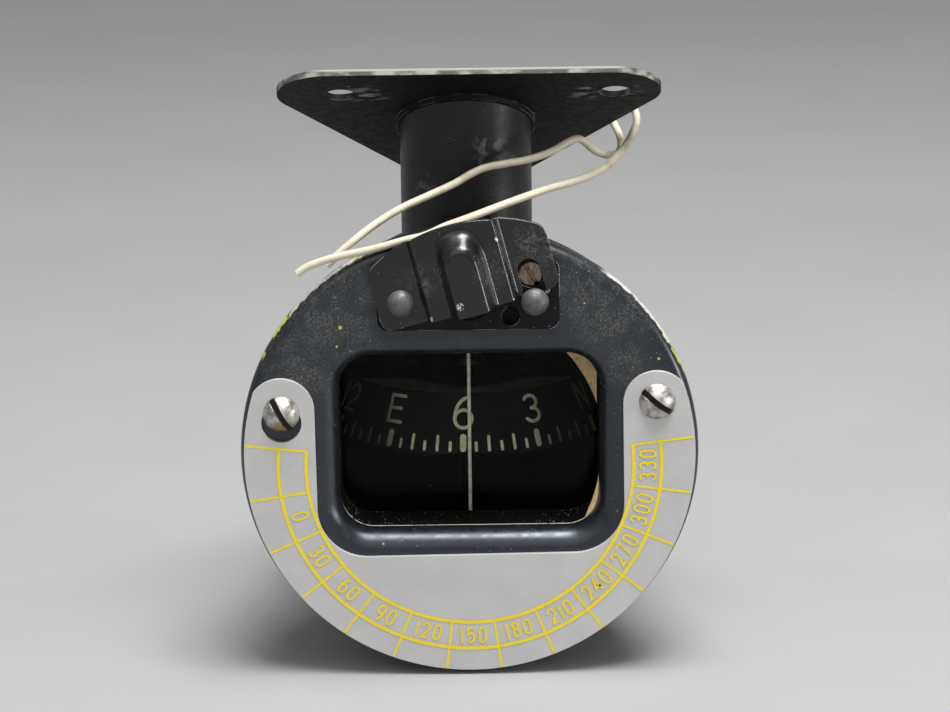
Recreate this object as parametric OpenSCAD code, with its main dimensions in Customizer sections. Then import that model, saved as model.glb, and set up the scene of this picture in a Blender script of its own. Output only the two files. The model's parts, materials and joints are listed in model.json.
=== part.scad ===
// Liquid-filled magnetic compass that hangs from a slanted three-hole flange.
// Frame: +Z up, the window looks towards -Y, millimetres.
// Origin: centre of the three flange holes, on the flange's upper face.

/* [Flange and tube] */
// Slope of the flange, front edge up, in degrees
flange_tilt = 30; // [24:1:34]
// Distance between neighbouring flange holes
hole_pitch = 50; // [47:0.5:56]
// Diameter of the flange holes
hole_d = 5.6; // [4.5:0.1:6.5]
// Radius of the flange's corners
flange_corner_r = 10; // [8.5:0.1:12]
// Thickness of the flange
flange_t = 1.2; // [0.9:0.1:2]
// Distance of the flange's outline to the left of its holes
outline_shift = 1.6; // [0:0.1:2]
// Height of the weld bead under the flange
weld_h = 0.9; // [0.5:0.1:1.5]
// Width of the weld bead round the tube
weld_w = 0.7; // [0.4:0.1:1.5]
// Outside diameter of the mounting tube
tube_d = 24.5; // [22.5:0.1:26]
// Wall of the mounting tube
tube_wall = 1.4; // [1:0.1:2]
// Distance of the tube's axis to the left of the flange holes' centre
axis_shift = 2.3; // [0:0.1:3]
// Distance from the flange's centre down to the axis of the case
drop = 55.7; // [54:0.1:64]
// Distance from the face back to the axis of the tube
tube_back = 36; // [34:0.5:40]
// Diameter of the lead grommet's hole in the flange
grommet_hole_d = 11; // [9:0.1:13]

/* [Bezel] */
// Diameter of the face
face_d = 82.6; // [81.5:0.1:90]
// Depth of the bezel's rim
rim_t = 5; // [4:0.1:6]
// Rounding of the rim's edges
rim_round = 2; // [1:0.1:2.2]
// Depth of the bezel, from the face to the lens gasket
bezel_depth = 13; // [12.5:0.1:15]
// How far the rim stands out past the bezel's body
body_step = 2.3; // [1.5:0.1:2.4]
// Width of the window
window_w = 46.9; // [42:0.1:49]
// Height of the window
window_h = 32.5; // [28:0.1:33]
// Height of the window's centre above the axis
window_rise = 1.8; // [0:0.1:2.2]
// Radius of the window's corners
window_corner_r = 6; // [4:0.1:8]
// Radius of the rolled lip round the window
lip_r = 4; // [2:0.1:4.2]

/* [Lens stack] */
// Width of the bowl's flange outside the lens
lens_inset = 4.5; // [4.4:0.1:5.4]
// Thickness of the lens
lens_t = 2.5; // [2:0.1:3.5]
// Thickness of the cork gasket
gasket_t = 1; // [0.6:0.1:1.6]
// Width of the cork gasket's ring
gasket_w = 2.8; // [2:0.1:4]
// Room between the centred gasket and the wall of its seat
gasket_room = 4.1; // [1:0.1:4.4]
// Direction in which the gasket has slipped, in degrees from the right
gasket_slip_turn = 222; // [180:1:270]
// Thickness of the retainer ring behind the lens
retainer_t = 1; // [0.8:0.1:2]
// Diameter of the lubber rod
lubber_d = 0.65; // [0.4:0.05:0.9]

/* [Dial and float] */
// Room between the lens's edge and the dial's lower edge, seen from the front
dial_inset = 6; // [5.6:0.1:7]
// Length of the dial's sloping band
dial_band = 11.6; // [9:0.1:13]
// Slope of the band from upright, in degrees
dial_cone = 25; // [15:1:32]
// How far the lower edge of the dial hangs below the pivot point
dial_hang = 5.4; // [4.4:0.1:7]
// Thickness of the dial's sheet
dial_t = 0.5; // [0.3:0.05:0.8]
// Room between the dial's reach and the bowl
dial_room = 1.3; // [1:0.1:2.5]
// Outside radius of the float chamber
float_r = 17; // [14:0.1:19]
// Radius of the well in the float, round the post
well_r = 7; // [6:0.1:8]
// Depth of the float chamber
float_h = 4.6; // [3.4:0.1:5]
// Sheet of the float chamber
float_t = 0.4; // [0.3:0.05:0.6]
// Length of each magnet under the float
magnet_l = 26; // [18:0.5:30]
// Width of each magnet
magnet_w = 4; // [2.5:0.1:5]
// Height of each magnet
magnet_h = 3; // [2:0.1:4]
// Distance between the two magnets' centres
magnet_gap = 19; // [17:0.5:24]
// Height of the hangers that carry the magnets
hanger_h = 7; // [5:0.1:9]
// Diameter of the pivot pin
pin_d = 1.6; // [1.2:0.1:2]
// Diameter of the pivot post
post_d = 4; // [3:0.1:5]

/* [Bowl] */
// Wall of the bowl
bowl_wall = 2.1; // [1.8:0.1:3]
// Thickness of the bowl's front flange
bowl_flange_t = 3.5; // [3:0.1:4.5]
// Room between the dial's reach and the rear diaphragm
rear_room = 0.4; // [0.3:0.05:0.7]
// Depth of the rear cover
rear_cover_h = 6; // [5:0.1:8]
// Wall of the rear cover
rear_cover_wall = 1.6; // [1.2:0.1:2.4]
// Thickness of the expansion diaphragm
diaphragm_t = 0.3; // [0.2:0.05:0.5]
// Height of the spigot inside the tube
spigot_h = 8; // [5:0.1:9]

/* [Correction card] */
// Distance from the face's edge in to the correction card's edge
card_inset = 0.7; // [0.6:0.1:1.4]
// Thickness of the correction card
card_t = 0.8; // [0.5:0.05:1.2]
// Distance of each card screw in from the card's edge
card_screw_inset = 6.9; // [6.4:0.1:7.2]
// Height of the left card screw above the axis
left_screw_z = 8.3; // [7.6:0.1:9.4]
// Height of the right card screw above the axis
right_screw_z = 9.8; // [9:0.1:10.6]
// Radius of the card's ears
ear_r = 6; // [5:0.1:6.4]
// Height of the ears' centres above the axis
ear_z = 9.1; // [8.4:0.1:9.8]
// Turn of the loose card on its screws, in degrees
card_turn = 0.5; // [0:0.1:1]
// Depth of the cut-out below the axis
cutout_drop = 18.6; // [18.5:0.1:21]
// Corner radius of the cut-out
cutout_corner_r = 9; // [7:0.1:10]
// Head diameter of the card screws
card_head_d = 6.6; // [6:0.1:7.2]
// Shank diameter of the card screws
card_shank_d = 3.4; // [3:0.1:3.8]
// Diameter of the card's oversize left hole
left_hole_d = 7.2; // [7:0.1:7.6]
// How far the left hole sits below its screw
left_hole_drop = 1.7; // [1:0.1:1.8]

/* [Compensator] */
// Half width of the compensator plate
plate_half_w = 16.3; // [15.6:0.1:17]
// Height of the compensator plate, in the middle
plate_h = 16.1; // [15.2:0.1:16.2]
// Distance from the face's edge in to the plate's arched top
plate_inset = 1.7; // [1.4:0.1:2]
// Thickness of the compensator plate
plate_t = 1; // [0.8:0.1:1.4]
// Distance of each stud from the middle
stud_x = 11.9; // [11.6:0.1:12.4]
// Distance of the studs below the plate's top
stud_drop = 10.8; // [10.5:0.1:11.1]
// Shank diameter of the studs
stud_d = 2.8; // [2.2:0.1:3]
// Head diameter of the studs
stud_head_d = 5; // [4.4:0.1:5.4]
// Distance of each adjuster from the middle
adjuster_x = 11.2; // [11:0.1:11.4]
// Distance of the adjusters below the plate's top
adjuster_drop = 6; // [5.8:0.1:6.2]
// Head diameter of the adjusters
adjuster_head_d = 4.8; // [4.2:0.1:5.2]
// Distance of each follower from the middle
follower_x = 9.2; // [9.1:0.1:9.3]
// Distance of the followers below the plate's top
follower_drop = 10.3; // [10.2:0.1:10.4]
// Teeth on each compensator gear
gear_teeth = 12; // [12:1:12]
// Length of each compensator magnet
trim_magnet_l = 4.8; // [4:0.1:5]
// Diameter of the lamp's bore
lamp_bore_d = 8.4; // [7.6:0.1:8.6]
// Distance of the lamp's centre below the plate's top
lamp_drop = 9.8; // [9.4:0.1:10.2]

/* [Swing cover] */
// Opening of the cover as shown, in degrees
cover_open = 14.5; // [0:0.5:75]
// Radius of the cover's arched top
cover_top_r = 29.5; // [27:0.5:36]
// Height of the cover's top above its studs
cover_rise = 11.8; // [11:0.1:12]
// Depth of the cover's lower edge below its studs
cover_fall = 4.4; // [4:0.1:5]
// Sheet of the cover
cover_t = 0.8; // [0.6:0.05:1]
// Height of the cover's raised middle
cover_raise = 2; // [1.4:0.1:2.4]
// Height of the lamp hump over the raised middle
hump_h = 3.3; // [2.4:0.1:3.8]
// Width of the hump at its base
hump_w = 8.4; // [7:0.1:8.8]
// Width of the hump's flat front
hump_front_w = 4.6; // [3.6:0.1:5]
// Width of the notch that hooks the latch stud
notch_w = 4; // [3.6:0.1:4.4]

/* [Clearances] */
// Radial clearance of a turning pin in its hole
run_fit = 0.05; // [0.03:0.01:0.08]
// Radial clearance of a piece that drops into its seat
seat_fit = 0.1; // [0.05:0.01:0.2]
// Gap between sheets that slide past each other
slide_gap = 0.4; // [0.3:0.05:0.6]

/* [Hidden] */
$fn = 64;
over = 1;

// Flange outline and tube
hole_circle_r = hole_pitch / sqrt(3);
flange_side_r = flange_corner_r - 0.02;
tube_r = tube_d / 2;
tube_bore_r = tube_r - tube_wall;
grommet_r = grommet_hole_d / 2;
grommet_lip = 1.2;
grommet_cap = 2.6;
grommet_skirt = 1.2;
grommet_room = 1;
lead_d = 1.4;

// Places in the case, measured from the face's centre, y behind the face
face_r = face_d / 2;
body_r = face_r - body_step;
lens_r = body_r - lens_inset;
seat_r = lens_r + seat_fit;
gasket_r = seat_r - gasket_room;
gasket_bore_r = gasket_r - gasket_w;
gasket_slip = gasket_room - seat_fit;
lens_front = bezel_depth + gasket_t;
retainer_front = lens_front + lens_t;
stack_end = retainer_front + retainer_t;

// Dial, float and pivot, measured from the pivot point
dial_r = lens_r - dial_inset;
dial_reach = norm([dial_r, dial_hang]);
bowl_r = dial_reach + dial_room;
bowl_outer_r = bowl_r + bowl_wall;
pivot_y = stack_end + bowl_r;
band_rise = dial_band * cos(dial_cone);
dial_top_r = dial_r - dial_band * sin(dial_cone);
dial_top = band_rise - dial_hang;
float_top = dial_top - dial_t;
float_low = float_top - float_h;
magnet_top = float_low - hanger_h;
hanger_t = 1;
hanger_l = 8;
hub_r = 3;
hub_flange_r = 4.5;
hub_flange_t = 0.8;
hub_low = float_top - hub_flange_t - run_fit;
hub_top = dial_top + 1;
pin_top = dial_top + dial_t;
pin_point_l = 3;
jewel_r = 2;
jewel_top = 0.6;
jewel_h = 2.5;
jewel_cone = 50;
tip_r = 0.5;
tip_play = 0.03;
jewel_deep = (tip_r + tip_play) / sin(jewel_cone);
socket_low = 0.2;
socket_r = 0.65;
post_head_r = 2.7;
post_head_h = 5;
jewel_proud = 0.3;
post_top = jewel_top - jewel_proud;
post_play = 0.3;
post_foot_r = 4;
post_foot_t = 2;
post_stud_r = 1.5;
post_stud_l = 3;
boss_r = 5;
boss_top = -bowl_r + 3;
boss_low = bowl_r + bowl_wall / 2;
boss_seam_turn = 25;

// Bowl
taper_start = bezel_depth + bowl_flange_t + 3;
taper_end = pivot_y - 0.6 * bowl_r;
bowl_neck_r = seat_r + bowl_wall;
rear_cut = dial_reach + rear_room;
rear_outer_r = sqrt(bowl_outer_r * bowl_outer_r - rear_cut * rear_cut);
rear_face = pivot_y + rear_cut;
rear_cover_front = rear_face + diaphragm_t;
rear_land_r = rear_outer_r + 3.2;
rear_land_t = 4;
rear_draft = 2;
rear_step = 0.5;
rear_screw_r = rear_outer_r + 1.6;
pad_r = tube_r - seat_fit;
pad_top = bowl_outer_r + 0.6;
spigot_r = tube_bore_r - seat_fit;
lead_bore_r = 4;
lead_channel_r = 1;
lead_channel_z = seat_r + lead_channel_r + 1;
spine_half_w = 4;
spine_wall = 1;
spine_top = lead_channel_z + lead_channel_r + spine_wall;
set_screw_r = 1.5;
set_screw_l = 3.5;
set_screw_turn = 35;
set_screw_sink = 0.2;
set_slot_w = 0.6;
set_slot_h = 0.8;
filler_z = 8;
filler_y = pivot_y - 0.3 * bowl_r;
filler_bore_r = 2.5;
filler_boss_r = 5;
filler_face = bowl_outer_r + 1.5;
filler_seal_t = 0.6;
filler_head_r = 4;
filler_head_t = 2.2;
filler_inset = 0.5;
filler_slot = 1;

// Screws that hold the bezel to the bowl's flange
bezel_screw_count = 6;
bezel_screw_r = 0.9;
bezel_screw_head_r = 1.4;
bezel_screw_head_t = 1.5;
bezel_screw_circle = seat_r + 2.5;
spot_face_r = bezel_screw_head_r + 0.1;
screw_seat = bezel_depth + bowl_flange_t - 0.2;
bezel_screw_l = 5;
bezel_slot_w = 0.5;
bezel_slot_h = 0.7;
tap_room = 0.5;
rear_screw_count = 4;
rear_screw_shank_r = 0.6;
rear_screw_head_r = 1.2;
rear_screw_head_t = 1;
rear_screw_l = 2.2;
rear_screw_room = 0.3;
rear_slot_w = 0.4;
rear_slot_h = 0.5;

// Correction card and its screws
card_r = face_r - card_inset;
card_screw_x = card_r - card_screw_inset;
card_shank_r = card_shank_d / 2;
card_head_h = 2.1;
card_insert_r = 2.7;
card_insert_l = 5;
card_screw_zs = [left_screw_z, right_screw_z];
cutout_half_w = card_screw_x - ear_r;
card_slot_w = 1.1;
card_slot_h = 1.3;
card_slot_turn = [60, 38];
card_tap_r = card_shank_r + run_fit;
card_hole_room = 0.3;

// Compensator
plate_top_r = face_r - plate_inset;
plate_low = plate_top_r - plate_h;
stud_z = plate_top_r - stud_drop;
adjuster_z = plate_top_r - adjuster_drop;
follower_z = plate_top_r - follower_drop;
lamp_z = plate_top_r - lamp_drop;
plate_corner_top_r = 3;
plate_corner_low_r = 2;
stud_r = stud_d / 2;
stud_dome_h = 1.8;
stud_tail_r = stud_r + 0.3;
stud_tail_t = 0.6;
stud_tail_room = 0.2;
washer_play = 0.02;
cover_back = plate_t + slide_gap;
cover_front = cover_back + cover_t;
stud_neck = cover_front + slide_gap / 2;
washer_r = stud_r + 1.2;
gear_gap = norm([adjuster_x - follower_x, adjuster_z - follower_z]);
gear_line = atan2(follower_z - adjuster_z, follower_x - adjuster_x);
gear_pitch_r = gear_gap / 2;
gear_tip_r = gear_pitch_r + 0.3;
gear_root_r = gear_pitch_r - 0.44;
gear_root_half = 8;
gear_tip_half = 3.2;
gear_front = 8.2;
gear_back = 10.2;
trim_magnet_w = 1.8;
adjuster_magnet_front = 3.6;
follower_magnet_front = 5.8;
pocket_r = gear_tip_r + 0.3;
pocket_floor = 11.4;
trim_shaft_r = 1.1;
trim_bearing_r = 0.7;
trim_bearing_l = 1;
trim_point_r = 0.5;
trim_point_l = 0.5;
trim_play = 0.1;
trim_sleeve = 0.3;
trim_neck_front = 0.6;
adjuster_head_r = adjuster_head_d / 2;
adjuster_head_front = -plate_t + 0.1;
adjuster_head_back = 0.5;
adjuster_slot_w = 0.8;
adjuster_slot_h = 0.9;
adjuster_slot_turn = 60;
vent = [7.5, plate_low + 2.4];
vent_r = 1.75;

// Lamp
lamp_bore_r = lamp_bore_d / 2;
lamp_port_r = lamp_bore_r + 0.4;
lamp_floor = 10;
lamp_socket_l = 6;
lamp_socket_wall = 1;
lamp_bulb_r = 2.3;
lamp_bulb_l = 7;
light_bore_r = 2.4;
light_bore_y = 6;
filter_t = 1.5;
filter_rise = 0.5;
window_top = window_rise + window_h / 2;

// Swing cover, measured from the pivot stud, closed
cover_left = stud_x - plate_half_w;
cover_right = stud_x + plate_half_w;
raise_left = 3.6;
raise_right = 20.7;
raise_run = 1.1;
hump_x = 12.4;
hump_top = 10.4;
hump_base_r = hump_w / 2;
hump_front_r = hump_front_w / 2;
plateau_front = cover_front + cover_raise;
notch_x = 2 * stud_x - 0.3;

// Free lamp leads from the grommet over the flange's right edge to their bare ends, about the tube's axis
lower_route = [
    [5.4, -0.4, 1.3], [9.5, -0.4, 1.3], [14, -0.5, 1.4], [18.5, -0.5, 1.4], [23, -0.6, 1.4],
    [27, -0.7, 1.5], [29.5, -0.8, 1.6], [31.2, -1.4, 0.8], [31.8, -2.6, -1], [31.1, -4, -2.9],
    [29.8, -6.1, -4.8], [28, -8.5, -6.6], [26, -11, -8], [23.5, -13.5, -8.9], [19.8, -16, -9.8],
    [15.2, -18.5, -10.5], [11.5, -21, -11.2], [6.9, -24.4, -12.1], [2.4, -28, -13],
    [-1.2, -31.8, -13.5], [-4, -34.6, -13.9], [-7.4, -36, -15.1], [-11, -36.2, -15.9],
    [-14.6, -36.1, -16.9], [-18.2, -36, -17.8], [-22.5, -35.8, -18.7], [-26.4, -35.8, -19.8],
    [-28.8, -35.8, -20.8], [-30.2, -35.8, -21.8]
];
upper_route = [
    [5.2, 1.8, 0.1], [9.5, 2.5, -0.3], [14, 3.3, -0.8], [18.5, 4.1, -1.3], [22.5, 4.9, -1.7],
    [25.2, 5.3, -1.9], [27.2, 5.1, -2.4], [28.3, 3.8, -3.8], [28.9, 1.4, -5.2], [28.9, -1.4, -6.2],
    [28.2, -4.2, -6.9], [26.6, -6.6, -6.9], [24.9, -8.3, -6.2], [23.3, -9.6, -5.1], [21.9, -10.7, -3.6],
    [20.5, -11.5, -2.8], [18.9, -12, -3.2], [16.3, -13, -4.5], [11.7, -14.2, -5.9], [7.1, -14.8, -6.6],
    [3.5, -15.3, -7.2], [1.1, -15.8, -8.1], [-2, -17.2, -9.6], [-6.6, -20.2, -11.1],
    [-12, -23.5, -12.9], [-15.5, -27.5, -14.2], [-18.3, -30.5, -15.6], [-20.6, -32.7, -17],
    [-22.4, -33.4, -18.4], [-25, -33.8, -20.9]
];
lead_sides = 8;

// Frames and shape helpers

module on_axis() {
    translate([-axis_shift, 0, 0]) children();
}

module in_case() {
    on_axis() translate([0, -tube_back, -drop]) children();
}

module in_flange() {
    rotate([-flange_tilt, 0, 0]) children();
}

module at_pivot() {
    in_case() translate([0, pivot_y, 0]) children();
}

// A flat shape drawn in x and z, filling y from front to back
module slab(front, back) {
    translate([0, back, 0]) rotate([90, 0, 0]) linear_extrude(back - front) children();
}

// A round bar along y, centred at x and z
module bar(x, z, front, back, r) {
    translate([x, front, z]) rotate([-90, 0, 0]) cylinder(h = back - front, r = r);
}

// A profile of radius and depth, turned about the case's axis
module turned() {
    rotate([-90, 0, 0]) rotate_extrude($fn = 128) children();
}

module ring(outer, inner) {
    difference() {
        circle(outer);
        circle(inner);
    }
}

function unit(v) = v / norm(v);
function heading(p, i) = unit(p[min(i + 1, len(p) - 1)] - p[max(i - 1, 0)]);
function square_to(n, t) = unit(n - (n * t) * t);
function carried(p, i, n) = i == len(p)
    ? []
    : let (m = square_to(n, heading(p, i))) concat([m], carried(p, i + 1, m));

// A round lead swept along a route
module lead(route) {
    sides = lead_sides;
    count = len(route);
    normals = carried(route, 0, [0, 0.3, 1]);
    points = [
        for (i = [0 : count - 1], k = [0 : sides - 1])
            let (n = normals[i], b = cross(heading(route, i), n), a = k * 360 / sides)
            route[i] + lead_d / 2 * (cos(a) * n + sin(a) * b)
    ];
    walls = [
        for (i = [0 : count - 2], k = [0 : sides - 1])
            let (a = i * sides + k, b = i * sides + (k + 1) % sides)
            each [[a, a + sides, b], [b, a + sides, b + sides]]
    ];
    first = [for (k = [1 : sides - 2]) [0, k, k + 1]];
    last = [for (k = [1 : sides - 2]) [0, k + 1, k] + (count - 1) * sides * [1, 1, 1]];
    polyhedron(points, concat(walls, first, last), convexity = 6);
}

// Flange, tube and leads

module hole_places() {
    for (turn = [90, 210, 330]) rotate(turn) translate([hole_circle_r, 0]) children();
}

module flange_outline() {
    translate([-outline_shift, 0]) {
        hole_places() circle(flange_corner_r);
        polygon([
            for (turn = [90, 210, 330], edge = [turn - 60, turn + 60])
                hole_circle_r * [cos(turn), sin(turn)] + flange_side_r * [cos(edge), sin(edge)]
        ]);
    }
}

module tube_space(r) {
    translate([0, 0, -drop]) cylinder(h = drop + tube_d, r = r);
}

module mounting_flange() {
    color("#26282a") difference() {
        union() {
            in_flange() translate([0, 0, -flange_t]) linear_extrude(flange_t) difference() {
                flange_outline();
                hole_places() circle(hole_d / 2);
            }
            on_axis() intersection() {
                tube_space(tube_r + weld_w);
                in_flange() translate([-drop, -drop, -flange_t - weld_h])
                    cube([2 * drop, 2 * drop, weld_h + flange_t / 2]);
            }
        }
        on_axis() intersection() {
            tube_space(tube_r);
            below_flange();
        }
        on_axis() in_flange() translate([0, 0, -drop]) cylinder(h = 2 * drop, r = grommet_r);
    }
}

// Everything under the flange
module below_flange() {
    in_flange() translate([-drop, -drop, -2 * drop - flange_t]) cube(2 * drop);
}

module mounting_tube() {
    color("#2b2d2f") on_axis() difference() {
        intersection() {
            translate([0, 0, pad_top - drop]) cylinder(h = drop, r = tube_r);
            below_flange();
        }
        tube_space(tube_bore_r);
        translate([-spine_half_w - seat_fit, -tube_d, -drop])
            cube([2 * (spine_half_w + seat_fit), tube_d, spine_top + seat_fit]);
        set_screw_places() set_screw_bore(set_screw_r + run_fit);
    }
}

module set_screw_places() {
    for (side = [-1, 1]) translate([0, 0, pad_top - drop + spigot_h / 2])
        rotate(90 + side * set_screw_turn) children();
}

module set_screw_bore(r) {
    translate([tube_bore_r - set_screw_l - tap_room, 0, 0]) rotate([0, 90, 0])
        cylinder(h = tube_wall + set_screw_l + tap_room + over, r = r);
}

module tube_screws() {
    color("#55575a") on_axis() set_screw_places() difference() {
        translate([tube_bore_r - set_screw_l, 0, 0]) rotate([0, 90, 0])
            cylinder(h = tube_wall + set_screw_l - set_screw_sink, r = set_screw_r);
        translate([tube_r - set_screw_sink - set_slot_h, -set_screw_r, -set_slot_w / 2])
            cube([over, 2 * set_screw_r, set_slot_w]);
    }
}

module lead_grommet() {
    color("#1d1d1d") on_axis() in_flange() rotate_extrude() union() {
        translate([0, -flange_t]) square([grommet_r, flange_t]);
        difference() {
            square([grommet_r + grommet_lip, grommet_cap]);
            translate([grommet_r + grommet_lip, grommet_cap]) circle(grommet_lip);
        }
        translate([0, -flange_t - grommet_skirt])
            square([min(grommet_r + grommet_lip, tube_bore_r - grommet_room), grommet_skirt]);
    }
}

module lead_wire_lower() {
    color("#d9d2bd") difference() {
        on_axis() lead(lower_route);
        lead_grommet();
    }
}

module lead_wire_upper() {
    color("#d9d2bd") difference() {
        on_axis() lead(upper_route);
        lead_grommet();
    }
}

// Bowl

module bowl_outside() {
    turned() union() {
        translate([0, bezel_depth]) square([body_r, bowl_flange_t]);
        polygon([
            [0, bezel_depth], [bowl_neck_r, bezel_depth], [bowl_neck_r, taper_start],
            [bowl_outer_r, taper_end], [bowl_outer_r, pivot_y], [0, pivot_y]
        ]);
        intersection() {
            translate([0, pivot_y]) circle(bowl_outer_r, $fn = 128);
            translate([0, pivot_y]) square([bowl_outer_r, rear_cut]);
        }
        translate([0, rear_face - rear_land_t]) square([rear_land_r, rear_land_t]);
    }
}

module bowl_inside() {
    turned() union() {
        translate([0, bezel_depth - over]) square([seat_r, stack_end - bezel_depth + over]);
        translate([0, stack_end - over]) square([bowl_r, pivot_y - stack_end + over]);
        intersection() {
            translate([0, pivot_y]) circle(bowl_r, $fn = 128);
            translate([0, pivot_y]) square([bowl_r, rear_cut + over]);
        }
    }
}

// Bowl with the tube's seat cut into its shoulder, and with its pad, lead spine and filler boss
module bowl_casting() {
    difference() {
        bowl_outside();
        translate([0, tube_back, pad_top]) cylinder(h = drop, r = tube_r + seat_fit);
    }
    translate([0, tube_back, 0]) cylinder(h = pad_top, r = pad_r);
    translate([-spine_half_w, bezel_depth, 0])
        cube([2 * spine_half_w, tube_back - bezel_depth, spine_top]);
    translate([0, filler_y, filler_z]) rotate([0, 90, 0]) cylinder(h = filler_face, r = filler_boss_r);
}

module case_bowl() {
    color("#2a2c2e") in_case() difference() {
        union() {
            difference() {
                bowl_casting();
                bowl_inside();
            }
            translate([0, tube_back, pad_top - over]) cylinder(h = spigot_h + over, r = spigot_r);
            translate([0, pivot_y, -boss_low]) rotate(boss_seam_turn)
                cylinder(h = boss_low + boss_top, r = boss_r);
        }
        translate([0, tube_back, lead_channel_z]) cylinder(h = pad_top + spigot_h, r = lead_bore_r);
        bar(0, lead_channel_z, bezel_depth - over, tube_back, lead_channel_r);
        translate([0, pivot_y, boss_top - post_stud_l])
            cylinder(h = post_stud_l + over, r = post_stud_r + run_fit);
        translate([0, filler_y, filler_z]) rotate([0, 90, 0])
            cylinder(h = filler_face + over, r = filler_bore_r + run_fit);
        bezel_screw_places() {
            bar(0, 0, bezel_depth - over, bezel_depth + bowl_flange_t + over, bezel_screw_r + run_fit);
            bar(0, 0, screw_seat, taper_end, spot_face_r);
        }
        rear_screw_places()
            bar(0, 0, rear_face - rear_screw_l, rear_face + over, rear_screw_shank_r + run_fit);
        translate([0, tube_back, drop]) set_screw_places() set_screw_bore(set_screw_r + run_fit);
    }
}

module bezel_screw_places() {
    for (k = [0 : bezel_screw_count - 1])
        rotate([0, k * 360 / bezel_screw_count, 0]) translate([bezel_screw_circle, 0, 0]) children();
}

module rear_screw_places() {
    for (k = [0 : rear_screw_count - 1])
        rotate([0, 45 + k * 360 / rear_screw_count, 0]) translate([rear_screw_r, 0, 0]) children();
}

module bezel_screws() {
    color("#8a8c8e") in_case() bezel_screw_places() difference() {
        union() {
            bar(0, 0, bezel_depth - bezel_screw_l, screw_seat, bezel_screw_r);
            bar(0, 0, screw_seat, screw_seat + bezel_screw_head_t, bezel_screw_head_r);
        }
        translate([-bezel_screw_head_r, screw_seat + bezel_screw_head_t - bezel_slot_h, -bezel_slot_w / 2])
            cube([2 * bezel_screw_head_r, over, bezel_slot_w]);
    }
}

module filler_plug() {
    front = filler_face + filler_seal_t;
    color("#a58a4c") in_case() translate([0, filler_y, filler_z]) rotate([0, 90, 0]) difference() {
        union() {
            translate([0, 0, bowl_r + filler_inset])
                cylinder(h = front - bowl_r - filler_inset, r = filler_bore_r);
            translate([0, 0, front]) cylinder(h = filler_head_t, r = filler_head_r);
        }
        translate([-filler_head_r, -filler_slot / 2, front + filler_head_t - filler_slot])
            cube([2 * filler_head_r, filler_slot, filler_slot + over]);
    }
}

module filler_seal() {
    color("#3a2a20") in_case() translate([0, filler_y, filler_z]) rotate([0, 90, 0])
        translate([0, 0, filler_face]) linear_extrude(filler_seal_t)
        ring(filler_head_r, filler_bore_r + run_fit);
}

module expansion_diaphragm() {
    color("#b08d57") in_case() difference() {
        turned() translate([0, rear_face]) square([rear_land_r, diaphragm_t]);
        rear_screw_places()
            bar(0, 0, rear_face - over, rear_cover_front + over, rear_screw_shank_r + run_fit);
    }
}

module rear_cover() {
    back = rear_cover_front + rear_cover_h;
    color("#2a2c2e") in_case() difference() {
        turned() difference() {
            union() {
                translate([0, rear_cover_front]) square([rear_land_r, rear_cover_wall]);
                polygon([
                    [0, rear_cover_front], [rear_outer_r, rear_cover_front],
                    [rear_outer_r - rear_draft, back], [0, back]
                ]);
            }
            polygon([
                [0, rear_cover_front - over], [rear_outer_r - rear_cover_wall, rear_cover_front - over],
                [rear_outer_r - rear_cover_wall, rear_cover_front + rear_step],
                [rear_outer_r - rear_cover_wall - rear_draft, back - rear_cover_wall],
                [0, back - rear_cover_wall]
            ]);
        }
        rear_screw_places() bar(0, 0, rear_cover_front - over, back, rear_screw_shank_r + run_fit);
    }
}

module rear_cover_screws() {
    head = rear_cover_front + rear_cover_wall;
    color("#8a8c8e") in_case() rear_screw_places() difference() {
        union() {
            bar(0, 0, rear_face - rear_screw_l + rear_screw_room, head, rear_screw_shank_r);
            bar(0, 0, head, head + rear_screw_head_t, rear_screw_head_r);
        }
        translate([-rear_screw_head_r, head + rear_screw_head_t - rear_slot_h, -rear_slot_w / 2])
            cube([2 * rear_screw_head_r, over, rear_slot_w]);
    }
}

// Bezel and lens stack

// Profile of the window's edge, from the corner's centre outwards and from the face inwards
module lip_profile() {
    square([window_corner_r, bezel_depth + over]);
    translate([0, -over]) square([window_corner_r + lip_r, over]);
    difference() {
        square([window_corner_r + lip_r, lip_r]);
        translate([window_corner_r + lip_r, lip_r]) circle(lip_r);
    }
}

module window_space() {
    half_x = window_w / 2 - window_corner_r;
    half_z = window_h / 2 - window_corner_r;
    translate([0, 0, window_rise]) {
        translate([-half_x, -over, -half_z]) cube([2 * half_x, bezel_depth + 2 * over, 2 * half_z]);
        for (x = [-half_x, half_x], z = [-half_z, half_z])
            translate([x, 0, z]) rotate([-90, 0, 0]) rotate_extrude() lip_profile();
        for (side = [0, 1]) {
            rotate([0, 180 * side, 0]) translate([half_x, 0, -half_z])
                linear_extrude(2 * half_z) lip_profile();
            rotate([0, 180 * side, 0]) translate([-half_x, 0, half_z]) rotate([0, 90, 0])
                linear_extrude(2 * half_x) mirror([1, 0]) lip_profile();
        }
    }
}

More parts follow.
